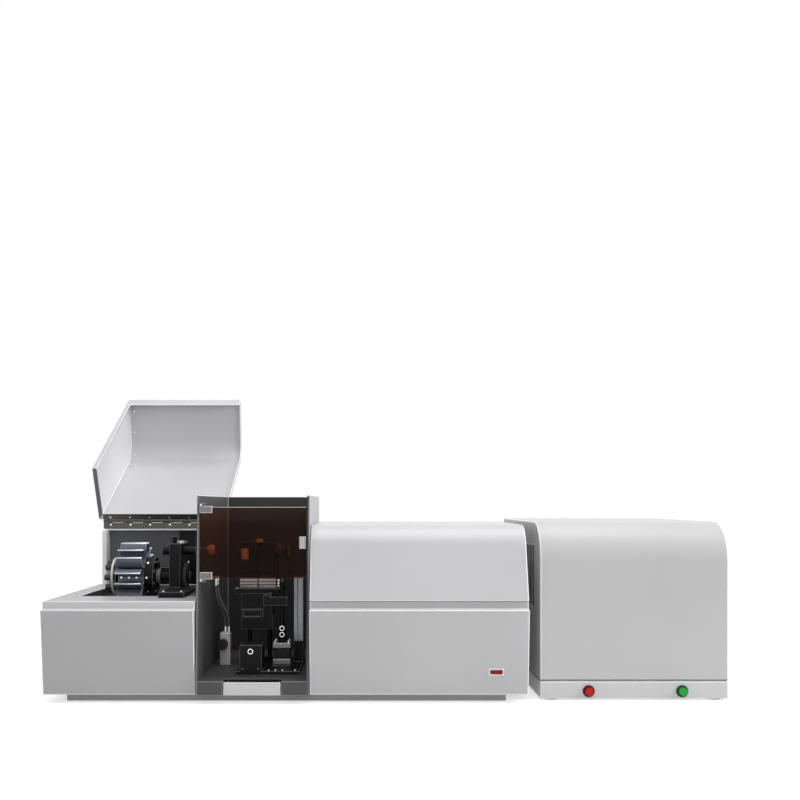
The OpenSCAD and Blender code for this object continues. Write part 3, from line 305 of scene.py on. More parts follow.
def moulded(name, colour, rough, grain=900.0, gloss=0.5):
    """Moulded plastic or rubber with the fine spark texture of its tool."""
    made, tree, shader, coords = surface(name, rough)
    shader.inputs["Specular IOR Level"].default_value = gloss
    drift = cloud(tree, coords, 9.0)
    tint(tree, drift, shade_of(colour, 0.9), shade_of(colour, 1.08), shader.inputs["Base Color"])
    skin = cloud(tree, coords, grain, 2.0)
    spread(tree, skin, rough - 0.06, rough + 0.08, shader.inputs["Roughness"])
    relief(tree, skin, 0.00008, shader, 0.3)
    return made


foot_rubber = moulded("foot_black_rubber", (0.02, 0.02, 0.02), 0.75, 600.0)
broken_edges("rubber_feet", 0.0008, foot_rubber)


# Lamp compartment tub: folded and welded sheet steel, sprayed grey. The front leans
# back to the plinth, a finger band is set in under the top edge, and the shelf
# round the opening carries the bracket and the rear wall.
tub_grey = stove_paint("tub_grey_paint", (0.43, 0.43, 0.44), 0.4)
# A much lighter paint on the tub's rounded edges: a painted highlight.
tub_highlight = stove_paint("tub_highlight_paint", (0.82, 0.82, 0.83), 0.32)
tub = broken_edges("lamp_tub", 0.0022, tub_grey, tub_highlight, 3)
# The finger band's front is painted lighter than the tub front: painted light, standing in for the
# top light on it.
band_painted_light = stove_paint("tub_band_painted_light", (0.62, 0.62, 0.63), 0.4)
band_low, band_high, band_rear = 0.2025, 0.2205, spot(0, 60, 0).y
second_finish(tub, band_painted_light,
              lambda c, n: band_low < c.z < band_high and n.y < -0.9 and c.y < band_rear)


# Rear wall of the lamp compartment: a grey sheet with a corner post and a ledge under the hinge,
# both in the tub's light edge paint as a painted highlight. A black plate behind the bracket is
# painted shade on the wall's right part.
wall_grey = stove_paint("lamp_rear_wall_paint", (0.105, 0.108, 0.115), 0.55, gloss=0.3)
rear_wall = broken_edges("lamp_back", 0.0008, wall_grey)
post_right, ledge_low = spot(28, 0, 0).x, 0.3585
# The corner post and the ledge get the light edge paint: a painted highlight.
second_finish(rear_wall, tub_highlight, lambda c, n: c.x < post_right or c.z > ledge_low)
back_y = spot(0, 474.5, 0).y
second_finish(rear_wall, tub_grey, lambda c, n: n.y > 0.9 and c.y > back_y)


def bevelled_box(name, low, high, width):
    """A block between two corners, with its edges bevelled in edit mode."""
    middle = (low + high) / 2
    bpy.ops.mesh.primitive_cube_add(size=1.0, location=middle)
    piece = bpy.context.object
    piece.name = name
    piece.scale = high - low
    chosen(piece)
    bpy.ops.object.transform_apply(location=False, rotation=False, scale=True)
    in_edit_mode(piece)
    bpy.ops.mesh.bevel(offset=width, segments=2, affect="EDGES")
    return piece


def anodised(name, colour, rough):
    """Machined aluminium with a dyed oxide layer: fine tooling lines and a soft sheen."""
    made, tree, shader, coords = surface(name, rough)
    shader.inputs["Specular IOR Level"].default_value = 0.12
    lines = cloud(tree, coords, 60.0, 5.0, (1, 1, 14))
    tint(tree, lines, shade_of(colour, 0.75), shade_of(colour, 1.35), shader.inputs["Base Color"])
    spread(tree, lines, rough - 0.08, rough + 0.12, shader.inputs["Roughness"])
    relief(tree, cloud(tree, coords, 1200.0), 0.00006, shader, 0.3)
    return made


black_oxide = anodised("black_oxide_aluminium", (0.0065, 0.0065, 0.0075), 0.45)
# Grey oxide: a painted highlight on the rounded edges of the black parts, and the whole finish of
# the hub screws and the shaft collar.
black_highlight_and_grey_oxide = anodised("black_oxide_highlight_and_grey_oxide", (0.20, 0.20, 0.205), 0.3)
# A thin black plate on the wall's right part: painted shade.
shade_plate = bevelled_box("rear_wall_painted_shade_plate", spot(209, 469.6, 222), spot(322, 471.9, 357), 0.0004)
settle(shade_plate, "frame", black_oxide)


# Piano hinge: rolled steel leaves on one long pin, screwed to the rear wall and to
# the lid's rear bar with a row of countersunk screws in each leaf.
def bright_metal(name, colour, rough, stretch=(1, 18, 18)):
    """Bare metal with the drawn lines of the rolling or turning that made it."""
    made, tree, shader, coords = surface(name, rough, 1.0)
    lines = cloud(tree, coords, 45.0, 6.0, stretch)
    tint(tree, lines, shade_of(colour, 0.82), shade_of(colour, 1.1), shader.inputs["Base Color"])
    spread(tree, lines, rough - 0.08, rough + 0.14, shader.inputs["Roughness"])
    relief(tree, lines, 0.00004, shader, 0.25)
    return made


hinge_steel = bright_metal("hinge_rolled_steel", (0.085, 0.083, 0.076), 0.4)
# Light steel: a painted highlight on the rounded edges of the hinge leaves and the shield pivots,
# and the whole finish of the hinge pin and the tap stem.
bright_steel_and_highlight = bright_metal("hinge_bright_steel_and_highlight", (0.34, 0.33, 0.30), 0.3)
for node in ("hinge_leaf", "lid_leaf"):
    broken_edges(node, 0.0003, hinge_steel, bright_steel_and_highlight)
dressed("hinge_pin", bright_steel_and_highlight)


def pick_faces(piece, wanted):
    """Goes into edit mode with only the faces whose middle and normal pass the test selected."""
    in_edit_mode(piece)
    bpy.ops.mesh.select_mode(type="FACE")
    bpy.ops.mesh.select_all(action="DESELECT")
    bpy.ops.object.mode_set(mode="OBJECT")
    for face in piece.data.polygons:
        face.select = wanted(face.center, face.normal)
    bpy.ops.object.mode_set(mode="EDIT")


def screw_model(radius, height, socket=True):
    """A screw head at the origin: a disc with a rounded rim and a wide or a narrow recess."""
    bpy.ops.mesh.primitive_cylinder_add(vertices=20, radius=radius, depth=height,
                                        location=(0, 0, 0))
    model = bpy.context.object
    pick_edges(model, lambda a, b: a.z > 0 and b.z > 0)
    bpy.ops.mesh.bevel(offset=height * 0.3, segments=2, affect="EDGES")
    bpy.ops.object.mode_set(mode="OBJECT")
    highest = max(v.co.z for v in model.data.vertices)
    pick_faces(model, lambda c, n: n.z > 0.9 and abs(c.z - highest) < 1e-6)
    bpy.ops.mesh.inset(thickness=radius * (0.42 if socket else 0.6))
    bpy.ops.mesh.extrude_region_move(TRANSFORM_OT_translate={"value": (0, 0, -height * 0.5)})
    bpy.ops.object.mode_set(mode="OBJECT")
    return model


def joined(pieces, name):
    """Joins the pieces into the first of them and names it."""
    chosen(pieces[0])
    for piece in pieces:
        piece.select_set(True)
    bpy.ops.object.join()
    whole = bpy.context.object
    whole.name = name
    return whole


def set_row(model, name, places, body, finish):
    """Copies of a small part, each at its place and facing its way, joined into one piece."""
    copies = []
    for place, facing in places:
        chosen(model)
        bpy.ops.object.duplicate()
        copy = bpy.context.object
        copy.location = place
        copy.rotation_euler = Vector((0, 0, 1)).rotation_difference(Vector(facing)).to_euler()
        copies.append(copy)
    settle(joined(copies, name), body, finish)


hinge_y, hinge_z = 470.2, 384
lid_swing = math.radians(153)


def opened(y, z):
    """Where a point of the shut lid's side outline stands with the lid open as it rests."""
    dy, dz = y - hinge_y, z - hinge_z
    return (hinge_y + dy * math.cos(lid_swing) + dz * math.sin(lid_swing),
            hinge_z - dy * math.sin(lid_swing) + dz * math.cos(lid_swing))


screw_steel = bright_metal("screw_bright_steel", (0.72, 0.72, 0.74), 0.25)
countersunk = screw_model(0.0026, 0.0008, False)
row_x, row_z = [31 + 51 * i for i in range(6)], 374.2
wall_row = [(spot(x, 470.68, row_z), (0, -1, 0)) for x in row_x]
set_row(countersunk, "hinge_screws", wall_row, "frame", screw_steel)
lid_y, lid_z = opened(469.67, row_z)
out_y, out_z = opened(470.67, row_z)
lid_row = [(spot(x, lid_y, lid_z), (0, out_y - lid_y, out_z - lid_z)) for x in row_x]
set_row(countersunk, "lid_hinge_screws", lid_row, "lid", screw_steel)
bpy.data.objects.remove(countersunk)


# Lid: one skin bent over a leaning front and a rounded edge, painted light grey, with an
# inturned front lip and a rim at the open right end. Its left end is riveted to the skin.
lid_grey = stove_paint("lid_light_grey_paint", (0.54, 0.54, 0.555), 0.4)
# A much lighter paint on the lid's rounded edges: a painted highlight.
lid_highlight = stove_paint("lid_highlight_paint", (0.88, 0.88, 0.90), 0.32)
lid = broken_edges("lid_shell", 0.0014, lid_grey, lid_highlight, 3)
# The rear flange of the lid's left end is painted dark grey.
flange_dark_grey = moulded("lid_rear_flange_dark_grey", (0.13, 0.13, 0.135), 0.6)
flange_right, end_right = spot(16, 0, 0).x, spot(8, 0, 0).x
second_finish(lid, flange_dark_grey, lambda c, n: c.x < flange_right and n.y < -0.85 and n.z < -0.4)
# The inner face of the left end, which faces the key lamp, is painted much lighter: painted light.
lid_end_painted_light = stove_paint("lid_end_painted_light_paint", (0.80, 0.80, 0.815), 0.4)
second_finish(lid, lid_end_painted_light, lambda c, n: n.x > 0.9 and c.x < end_right)


def lid_inside(run):
    """A point of the lid's inner skin and the way it faces, by its run up from the front lip."""
    lean, skin = math.radians(18), 3
    front, arc_r = 121.5, 65.0
    foot_y, foot_z, top_z = 22, 221.5, 382
    arc_y = foot_y + front * math.sin(lean) + arc_r * math.cos(lean)
    arc = arc_r * (math.pi / 2 - lean)
    if run < front:
        y, z = foot_y + run * math.sin(lean), foot_z + run * math.cos(lean)
        facing = (math.cos(lean), -math.sin(lean))
    elif run < front + arc:
        turn = math.pi - lean - (run - front) / arc_r
        y, z = arc_y + arc_r * math.cos(turn), top_z - arc_r + arc_r * math.sin(turn)
        facing = (-math.cos(turn), -math.sin(turn))
    else:
        y, z = arc_y + run - front - arc, top_z
        facing = (0, -1)
    y, z = y + skin * facing[0], z + skin * facing[1]
    here, there = opened(y, z), opened(y + facing[0], z + facing[1])
    return spot(14, *here), (0, there[0] - here[0], there[1] - here[1])


rivet = screw_model(0.0032, 0.0018, False)
rivet_row = [lid_inside(run) for run in (35, 95, 165, 230, 295, 360, 425, 490)]
set_row(rivet, "lid_rivets", rivet_row, "lid", screw_steel)
bpy.data.objects.remove(rivet)


# Turret bracket, exit lens and stepping motor: a black oxidised plate bolted to the shelf
# by its foot, with the turret's bearing in it and a fluted bright ring screwed on its top.
for node in ("turret_bracket", "lens_barrel"):
    broken_edges(node, 0.0006, black_oxide, black_highlight_and_grey_oxide)
motor_black = anodised("motor_black_lacquer", (0.012, 0.012, 0.013), 0.35)
broken_edges("turret_motor", 0.0012, motor_black, black_highlight_and_grey_oxide)


def turned_ring(name, outer, bore, depth, flutes=0):
    """A ring at the origin: a bored disc, its rims bevelled and its side fluted if asked."""
    sides = 2 * flutes if flutes else 32
    bpy.ops.mesh.primitive_cylinder_add(vertices=sides, radius=outer, depth=depth,
                                        location=(0, 0, 0))
    ring = bpy.context.object
    ring.name = name
    pick_faces(ring, lambda c, n: abs(n.z) > 0.9)
    bpy.ops.mesh.inset(thickness=outer - bore)
    bpy.ops.mesh.bridge_edge_loops()
    if flutes:
        step = math.pi / flutes
        pick_faces(ring, lambda c, n: math.hypot(c.x, c.y) > 0.9 * outer and abs(n.z) < 0.1
                   and int((math.atan2(c.y, c.x) + 2 * math.pi) / step) % 2 == 0)
        bpy.ops.mesh.inset(thickness=outer * 0.03, depth=-outer * 0.06, use_individual=True)
    pick_edges(ring, lambda a, b: abs(a.z) > 0.49 * depth and abs(a.z - b.z) < 1e-6
               and abs(math.hypot(a.x, a.y) - math.hypot(b.x, b.y)) < 1e-5)
    bpy.ops.mesh.bevel(offset=min(depth, outer - bore) * 0.15, segments=2, affect="EDGES")
    bpy.ops.object.mode_set(mode="OBJECT")
    return ring


def put(piece, place, facing, body, finish):
    """Stands a part made at the origin at its place, facing its way."""
    piece.location = place
    piece.rotation_euler = Vector((0, 0, 1)).rotation_difference(Vector(facing)).to_euler()
    settle(piece, body, finish)


nickel = bright_metal("fitting_bright_nickel", (0.78, 0.77, 0.74), 0.22)
turret_y, turret_z = 280, 254
top_ring = turned_ring("bracket_top_ring", 0.013, 0.008, 0.006, 16)
put(top_ring, spot(250, turret_y, 336.8), (0, 0, 1), "frame", nickel)
cap_screw = screw_model(0.0030, 0.0024)
bracket_row = [(spot(256, 340, 284), (1, 0, 0)), (spot(256, 331, 226), (1, 0, 0)),
               (spot(241, 112, 233), (0, 0, 1)), (spot(281, 112, 233), (0, 0, 1))]
set_row(cap_screw, "bracket_screws", bracket_row, "frame", screw_steel)


# Lamp turret: a black hub on its shaft carries eight sprung lamp clips of blue-grey coated
# steel with bright rolled lips, each held by three screws in its floor and one in the rim.
# Behind them is a white disc with the lamps' sockets, and in front the drive gear.
broken_edges("turret_hub", 0.0007, black_oxide, black_highlight_and_grey_oxide)
clip_coat = stove_paint("clip_blue_grey_coat", (0.105, 0.115, 0.145), 0.34)
# A lighter coat on the clips' rounded edges: a painted highlight.
clip_highlight = stove_paint("clip_highlight_edge", (0.38, 0.40, 0.46), 0.28)
broken_edges("lamp_clips", 0.0007, clip_coat, clip_highlight)


def on_turret(k, x, sideways, outwards):
    """A point of the turret by clip, place along the shaft, sideways and out from the axis."""
    turn = math.radians(45 * k)
    y = turret_y + sideways * math.cos(turn) - outwards * math.sin(turn)
    return spot(x, y, turret_z + sideways * math.sin(turn) + outwards * math.cos(turn))


def out_from_axis(k):
    """The way straight out from the shaft through a clip's middle."""
    turn = math.radians(45 * k)
    return 0, -math.sin(turn), math.cos(turn)


bpy.ops.mesh.primitive_cylinder_add(vertices=16, radius=0.0022, depth=0.061, location=(0, 0, 0))
lip = bpy.context.object
pick_faces(lip, lambda c, n: abs(n.z) > 0.9)
bpy.ops.mesh.bevel(offset=0.0006, segments=2, affect="EDGES")
bpy.ops.object.mode_set(mode="OBJECT")
lip_bright = bright_metal("clip_lip_bright", (0.55, 0.57, 0.63), 0.24)
clips = range(8)
lips = [(on_turret(k, 138.5, side * 12.2, 79.2), (1, 0, 0)) for k in clips for side in (-1, 1)]
set_row(lip, "clip_lips", lips, "turret", lip_bright)
bpy.data.objects.remove(lip)
floor_row = [(on_turret(k, x, 0, 44.2), out_from_axis(k)) for k in clips for x in (116, 134, 152)]
rim_row = [(on_turret(k, 176, 0, 48.0), out_from_axis(k)) for k in clips]
set_row(cap_screw, "clip_screws", floor_row + rim_row, "turret", screw_steel)
face_row = [(on_turret(k + 0.5, 191, 0, 37.0), (1, 0, 0)) for k in clips]
set_row(cap_screw, "hub_screws", face_row, "turret", black_highlight_and_grey_oxide)
collar = turned_ring("shaft_collar", 0.0175, 0.0112, 0.010, 20)
put(collar, spot(196, turret_y, turret_z), (1, 0, 0), "turret", black_highlight_and_grey_oxide)
disc_white = moulded("socket_disc_white", (0.76, 0.76, 0.75), 0.4)
broken_edges("socket_disc", 0.0006, disc_white)
socket_black = moulded("socket_black_plastic", (0.02, 0.02, 0.021), 0.3)
broken_edges("lamp_sockets", 0.0006, socket_black)
pinion_steel = bright_metal("pinion_steel", (0.5, 0.5, 0.52), 0.3)
broken_edges("turret_gear", 0.0002, black_oxide, black_highlight_and_grey_oxide)
dressed("turret_pinion", pinion_steel)


# Sample compartment sides: painted sheet cheeks whose leaning front edges are painted black as
# painted shade for the gaps beside them, a dark lining folded round the back with a bead in its
# corner and its left wall painted lighter as painted light, a dark floor and sill, and a light drip
# tray that pulls out.
cheek_grey = stove_paint("cheek_light_grey_paint", (0.44, 0.44, 0.45), 0.4)
# A lighter paint on the cheeks' rounded edges: a painted highlight.
cheek_highlight = stove_paint("cheek_highlight_paint", (0.74, 0.74, 0.75), 0.32)
front_painted_shade = moulded("cheek_front_painted_shade", (0.012, 0.012, 0.012), 0.6, gloss=0.2)
# The cheeks' front faces take the black: painted shade in the gaps beside the housings.
for node, way, inner in (("cheek_left", -1, -0.75), ("cheek_right", 1, -0.97)):
    cheek = broken_edges(node, 0.0018, cheek_grey, cheek_highlight, 3)
    second_finish(cheek, front_painted_shade, lambda c, n: n.y < -0.15 and way * n.x > inner)
lining_grey = stove_paint("lining_dark_grey_paint", (0.055, 0.055, 0.058), 0.5, gloss=0.15)
# A lighter paint on the rounded edges of the lining and floor: a painted highlight.
lining_highlight = stove_paint("lining_highlight_paint", (0.12, 0.12, 0.125), 0.3)
liner = broken_edges("sample_liner", 0.0006, lining_grey, lining_highlight)
# The lining's left wall, which faces the key lamp, is painted lighter: painted light.
side_painted_light = stove_paint("lining_side_painted_light_paint", (0.095, 0.095, 0.098), 0.5, gloss=0.15)
left_wall = spot(340, 0, 0).x
second_finish(liner, side_painted_light, lambda c, n: n.x > 0.9 and c.x < left_wall)
second_finish(liner, cheek_grey, lambda c, n: n.y > 0.9 and c.y > back_y)
corner_bead = bevelled_box("lining_corner_bead",
                           spot(333.6, 470.2, 64), spot(336.2, 472.9, 445), 0.0006)
bead_grey = stove_paint("lining_bead_paint", (0.42, 0.42, 0.43), 0.35)
settle(corner_bead, "frame", bead_grey)
broken_edges("sample_floor", 0.0006, lining_grey, lining_highlight)
sill_grey = stove_paint("sill_grey_paint", (0.036, 0.038, 0.040), 0.45)
# A lighter paint on the sill's rounded edges: a painted highlight.
sill_highlight = stove_paint("sill_highlight_paint", (0.22, 0.22, 0.225), 0.35)
broken_edges("sill_blocks", 0.0012, sill_grey, sill_highlight)
tray_grey = stove_paint("tray_light_grey_paint", (0.60, 0.60, 0.61), 0.4)
# A lighter paint on the tray's rounded edges: a painted highlight.
tray_highlight = stove_paint("tray_highlight_paint", (0.80, 0.80, 0.81), 0.32)
broken_edges("drip_tray", 0.0010, tray_grey, tray_highlight)


# Gas tap on the left wall: a fluted amber cap pressed on a short stem that stands out of
# the lining behind the shield.
amber_cap = moulded("cap_amber_plastic", (0.95, 0.60, 0.32), 0.3)
tap_y, tap_z = 99, 327
tap_cap = turned_ring("wall_tap_cap", 0.0098, 0.0020, 0.0120, 14)
put(tap_cap, spot(351, tap_y, tap_z), (1, 0, 0), "frame", amber_cap)
tap_stem = turned_ring("wall_tap_stem", 0.0050, 0.0015, 0.0124)
put(tap_stem, spot(339.6, tap_y, tap_z), (1, 0, 0), "frame", bright_steel_and_highlight)


# Shield: a pane of deep amber acrylic on two grey pivot blocks that turn on steel pins
# in arms from the left cheek, with a ribbed grip at its free edge.
amber, tree, shader, coords = surface("amber_acrylic", 0.06)
amber_low, amber_high = (0.32, 0.125, 0.076), (0.36, 0.14, 0.085)
tint(tree, cloud(tree, coords, 5.0), amber_low, amber_high, shader.inputs["Base Color"])
shader.inputs["Transmission Weight"].default_value = 1.0
shader.inputs["IOR"].default_value = 1.3
shader.inputs["Specular Tint"].default_value = (0.34, 0.31, 0.29, 1)
spread(tree, cloud(tree, coords, 6.0), 0.03, 0.07, shader.inputs["Roughness"])
pane = broken_edges("shield_pane", 0.0012, amber)
sawn_edge = moulded("pane_sawn_edge", (0.46, 0.40, 0.37), 0.5)
pane_top = 0.4207
second_finish(pane, sawn_edge, lambda c, n: c.z > pane_top)
pivot_grey = moulded("pivot_pale_plastic", (0.17, 0.17, 0.175), 0.4)
grip_grey = moulded("grip_pale_plastic", (0.15, 0.15, 0.153), 0.4)
# A near-white finish on the rounded edges of the pivot blocks and the grip: a painted highlight.
pivot_highlight = moulded("pivot_highlight_plastic", (0.82, 0.82, 0.82), 0.35)
broken_edges("shield_blocks", 0.0010, pivot_grey, pivot_highlight)
broken_edges("shield_handle", 0.0005, grip_grey, pivot_highlight)
broken_edges("shield_pivots", 0.0004, hinge_steel, bright_steel_and_highlight)
pivot_row = [(spot(338.2, 30.3, z), (0, -1, 0)) for z in (426.6, 263.4)]
arm_screw = screw_model(0.0021, 0.0020)
set_row(arm_screw, "pivot_arm_screws", pivot_row, "frame", screw_steel)
bpy.data.objects.remove(arm_screw)


# Furnace lift: a black oxidised base, an alloy column with black guide rods and a black
# carriage on them, a stepping motor with alloy end caps and four posts, and a lead screw
# that it drives through a clamped coupling.
for node in ("lift_base", "lift_carriage"):
    broken_edges(node, 0.0008, black_oxide, black_highlight_and_grey_oxide)
column_alloy = bright_metal("column_alloy", (0.16, 0.165, 0.17), 0.34, (14, 14, 1))
# A light alloy on the column's rounded edges: a painted highlight.
column_highlight = bright_metal("column_highlight_alloy", (0.66, 0.66, 0.67), 0.28, (14, 14, 1))
broken_edges("lift_column", 0.0008, column_alloy, column_highlight)
dressed("guide_rods", black_oxide)
broken_edges("lift_screw", 0.0004, black_oxide)
cap_alloy = bright_metal("motor_cap_alloy", (0.17, 0.17, 0.174), 0.42)
# A light alloy on the motor caps' rounded edges: a painted highlight.
cap_highlight = bright_metal("motor_cap_highlight", (0.62, 0.62, 0.62), 0.34)
lift_motor = broken_edges("lift_motor", 0.0005, cap_alloy, cap_highlight)
stack_low, stack_high = 0.0722, 0.0978
second_finish(lift_motor, motor_black, lambda c, n: stack_low < c.z < stack_high)
clamps = turned_ring("coupling_clamps", 0.0058, 0.0042, 0.0030)
clamp_row = [(spot(500, 181.6, z), (0, -1, 0)) for z in (127, 141.5)]
set_row(clamps, "coupling_clamps", clamp_row, "screw", nickel)
bpy.data.objects.remove(clamps)
post = screw_model(0.0026, 0.0060)
post_row = [(spot(x, y, 111.8), (0, 0, 1)) for x in (484.5, 515.5) for y in (174.5, 205.5)]
set_row(post, "motor_posts", post_row, "frame", screw_steel)
bpy.data.objects.remove(post)
bore_ring = turned_ring("base_bore_ring", 0.0062, 0.0042, 0.0020)
put(bore_ring, spot(437.5, 92.6, 101), (0, -1, 0), "frame", nickel)
front_row = [(spot(x, 92.2, 62), (0, -1, 0)) for x in (420, 455)]
set_row(cap_screw, "lift_block_screws", front_row, "frame", hinge_steel)
foot_row = [(spot(x, 104, 58.2), (0, 0, 1)) for x in (477, 492, 508, 536)]
set_row(cap_screw, "lift_base_screws", foot_row, "frame", screw_steel)
carriage_row = [(spot(467, 223, 199.5), (0, -1, 0)), (spot(391, 226, 231.2), (0, 0, 1)),
                (spot(391, 329, 231.2), (0, 0, 1))]
set_row(cap_screw, "carriage_screws", carriage_row, "lift", screw_steel)


# Furnace: two ribbed clamp blocks of plated copper with black heads round the graphite tube,
# dark window caps, an amber dosing funnel and clamp knob, and an earth strip at the right end.
block_plate = stove_paint("furnace_block_plate", (0.54, 0.57, 0.60), 0.34)
# A near-white paint on the blocks' rounded edges: a painted highlight.
block_highlight = stove_paint("furnace_block_highlight", (0.88, 0.88, 0.88), 0.3)
furnace = broken_edges("furnace_blocks", 0.0005, block_plate, block_highlight)
head_low = 0.2545
second_finish(furnace, black_oxide, lambda c, n: c.z > head_low)
groove_near, groove_far = spot(0, 245.7, 0).y, spot(0, 249.3, 0).y
# The grooves between the ribs are painted dark: painted shade.
groove_painted_shade = stove_paint("furnace_groove_painted_shade", (0.20, 0.20, 0.205), 0.5)
second_finish(furnace, groove_painted_shade,
              lambda c, n: groove_near < c.y < groove_far and abs(n.x) < 0.5 and c.z < head_low)
graphite = moulded("tube_graphite", (0.035, 0.035, 0.038), 0.55)
dressed("graphite_tube", graphite)
fittings = broken_edges("furnace_fittings", 0.0007, motor_black, black_highlight_and_grey_oxide)
knob_right, knob_rear, knob_low = spot(416.5, 0, 0).x, spot(0, 250, 0).y, 0.2985
funnel_left, funnel_right, funnel_low = spot(427, 0, 0).x, spot(448, 0, 0).x, 0.3358
second_finish(fittings, amber_cap,
              lambda c, n: (c.z > knob_low and c.x < knob_right and c.y < knob_rear)
              or (c.z > funnel_low and funnel_left < c.x < funnel_right))
cap_yellow = moulded("cap_end_yellow", (0.78, 0.55, 0.10), 0.4)
cap_left = spot(505, 0, 0).x
second_finish(fittings, cap_yellow, lambda c, n: c.x > cap_left)
strip = bevelled_box("earth_strip", spot(480.2, 250.4, 231), spot(492, 253, 252), 0.0005)
settle(strip, "lift", black_oxide)
strip_bar = bevelled_box("earth_bar", spot(492.2, 250, 231), spot(497.5, 253, 249), 0.0006)
settle(strip_bar, "lift", cap_alloy)
strip_row = [(spot(486, 249.2, z), (0, -1, 0)) for z in (247, 240.5, 234)]
set_row(cap_screw, "earth_strip_screws", strip_row, "lift", screw_steel)


# Gas valve: a beige-grey block on the floor with a black fluted knob, nickel tails and
# wall elbows, and two thin hoses pushed over them.
valve_grey = stove_paint("valve_warm_grey", (0.74, 0.72, 0.655), 0.45)
# A near-white paint on the valve's rounded edges: a painted highlight.
valve_highlight = stove_paint("valve_highlight_grey", (0.92, 0.91, 0.86), 0.38)
broken_edges("gas_valve", 0.0012, valve_grey, valve_highlight)
knob_black = moulded("knob_black_plastic", (0.016, 0.016, 0.016), 0.36, gloss=0.2)
# A grey finish on the rounded edges of the knob and the fan frame: a painted highlight.
knob_highlight = moulded("knob_highlight_edge", (0.11, 0.11, 0.11), 0.3)
broken_edges("valve_knob", 0.0003, knob_black, knob_highlight)
broken_edges("gas_fittings", 0.0004, nickel)
hose_grey = moulded("hose_grey_rubber", (0.13, 0.13, 0.135), 0.4)
hose_pull = Vector((0, 0, 0.048))
for name, start, end in (("gas_hose_front", (359.75, 247, 138), (343.5, 207, 238)),
                         ("gas_hose_rear", (368.75, 247, 138), (343.5, 237, 238))):
    bpy.ops.curve.primitive_bezier_curve_add(location=(0, 0, 0))
    hose = bpy.context.object
    hose.name = name
    hose.data.bevel_depth = 0.0026
    hose.data.bevel_resolution = 4
    hose.data.resolution_u = 24
    for point, place in zip(hose.data.splines[0].bezier_points, (spot(*start), spot(*end))):
        point.handle_left_type = point.handle_right_type = "FREE"
        point.co = place
        point.handle_left = place - hose_pull
        point.handle_right = place + hose_pull
    bpy.ops.object.convert(target="MESH")
    settle(hose, "frame", hose_grey, 60)
    if name == "gas_hose_front":
        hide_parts("gas_tubes")


# Monochromator: a lower housing like the lamp tub's, and a cover with the same leaning
# front and rounded edge as the lid, both of painted sheet with rounded ends. Panel screws
# hold the backs of the cover and the tub.
mono_grey = stove_paint("mono_lower_grey_paint", (0.51, 0.51, 0.52), 0.4)
# A much lighter paint on the housing's rounded edges: a painted highlight.
mono_highlight = stove_paint("mono_highlight_paint", (0.90, 0.90, 0.91), 0.32)
broken_edges("mono_lower", 0.0022, mono_grey, mono_highlight, 3)
cover_grey = stove_paint("mono_cover_light_grey_paint", (0.54, 0.54, 0.552), 0.36)
# A much lighter paint on the cover's rounded edges: a painted highlight.
cover_highlight = stove_paint("mono_cover_highlight_paint", (0.92, 0.92, 0.93), 0.3)
mono_cover = broken_edges("mono_cover", 0.0022, cover_grey, cover_highlight, 3)
# The cover's lower rounded edge is painted nearly black: painted shadow in the seam below it.
seam_painted_shadow = stove_paint("cover_seam_painted_shadow", (0.035, 0.035, 0.037), 0.6)
mono_foot = 0.2245
second_finish(mono_cover, seam_painted_shadow, lambda c, n: n.z < -0.2 and c.z < mono_foot)
panel_screw = screw_model(0.0040, 0.0022, False)
main_back = 475.6
cover_row = [(spot(x, main_back, z), (0, 1, 0))
             for x in (590, 700, 808, 916, 1026) for z in (236, 366)]
set_row(panel_screw, "cover_back_screws", cover_row, "frame", screw_steel)
tub_row = [(spot(x, main_back, z), (0, 1, 0)) for x in (24, 165, 306) for z in (40, 190)]
set_row(panel_screw, "tub_back_screws", tub_row, "frame", screw_steel)


# Mains switch: a white moulded frame that snaps into the housing's front, and a red
# plastic rocker that tilts in it.
frame_white = moulded("switch_white_plastic", (0.84, 0.84, 0.83), 0.35)
broken_edges("switch_bezel", 0.0005, frame_white)
rocker_red = moulded("rocker_red_plastic", (0.30, 0.008, 0.006), 0.3, gloss=0.15)
broken_edges("rocker", 0.0004, rocker_red)


# Optics and electronics inside the housing, behind the covers: cast bed, slits, mirrors,
# grating, detector, power module and circuit board.
bed_alloy = bright_metal("bed_cast_alloy", (0.5, 0.5, 0.52), 0.45)
mirror_coat = bright_metal("mirror_coating", (0.85, 0.86, 0.88), 0.1)
board_green = moulded("board_green_lacquer", (0.02, 0.12, 0.05), 0.35)
for node, finish in (("optical_bed", bed_alloy), ("slit_blocks", black_oxide),
                     ("mono_mirrors", mirror_coat), ("grating_table", bed_alloy),
                     ("pmt_housing", black_oxide), ("power_module", cap_alloy),
                     ("control_board", board_green)):
    dressed(node, finish)


# Cooling fan and rear ports: a moulded black fan behind the back panel with a wire guard over
# its opening, and turned steel gas inlets beside the mains inlet.
broken_edges("fan_frame", 0.0006, knob_black, knob_highlight)
broken_edges("fan_rotor", 0.0003, socket_black)
pivot_steel = bright_metal("pivot_steel", (0.55, 0.55, 0.57), 0.28)
ports = broken_edges("rear_ports", 0.0005, pivot_steel)
inlet_left = spot(765, 0, 0).x
second_finish(ports, knob_black, lambda c, n: c.x > inlet_left)
pin = bevelled_box("pin", Vector((-0.001, -0.002, -0.006)), Vector((0.001, 0.002, 0.006)), 0.0003)
pin_row = [(spot(x, 464.9, z), (0, 1, 0)) for x, z in ((781.5, 87), (792.5, 87), (787, 91))]
set_row(pin, "inlet_pins", pin_row, "frame", nickel)
bpy.data.objects.remove(pin)
guard_wires = []
for radius in (0.014, 0.023, 0.032, 0.041):
    bpy.ops.mesh.primitive_torus_add(major_radius=radius, minor_radius=0.0010, major_segments=40,
                                     minor_segments=8, location=(0, 0, 0))
    guard_wires.append(bpy.context.object)
reach, spoke_middle = 41.25, 0.034
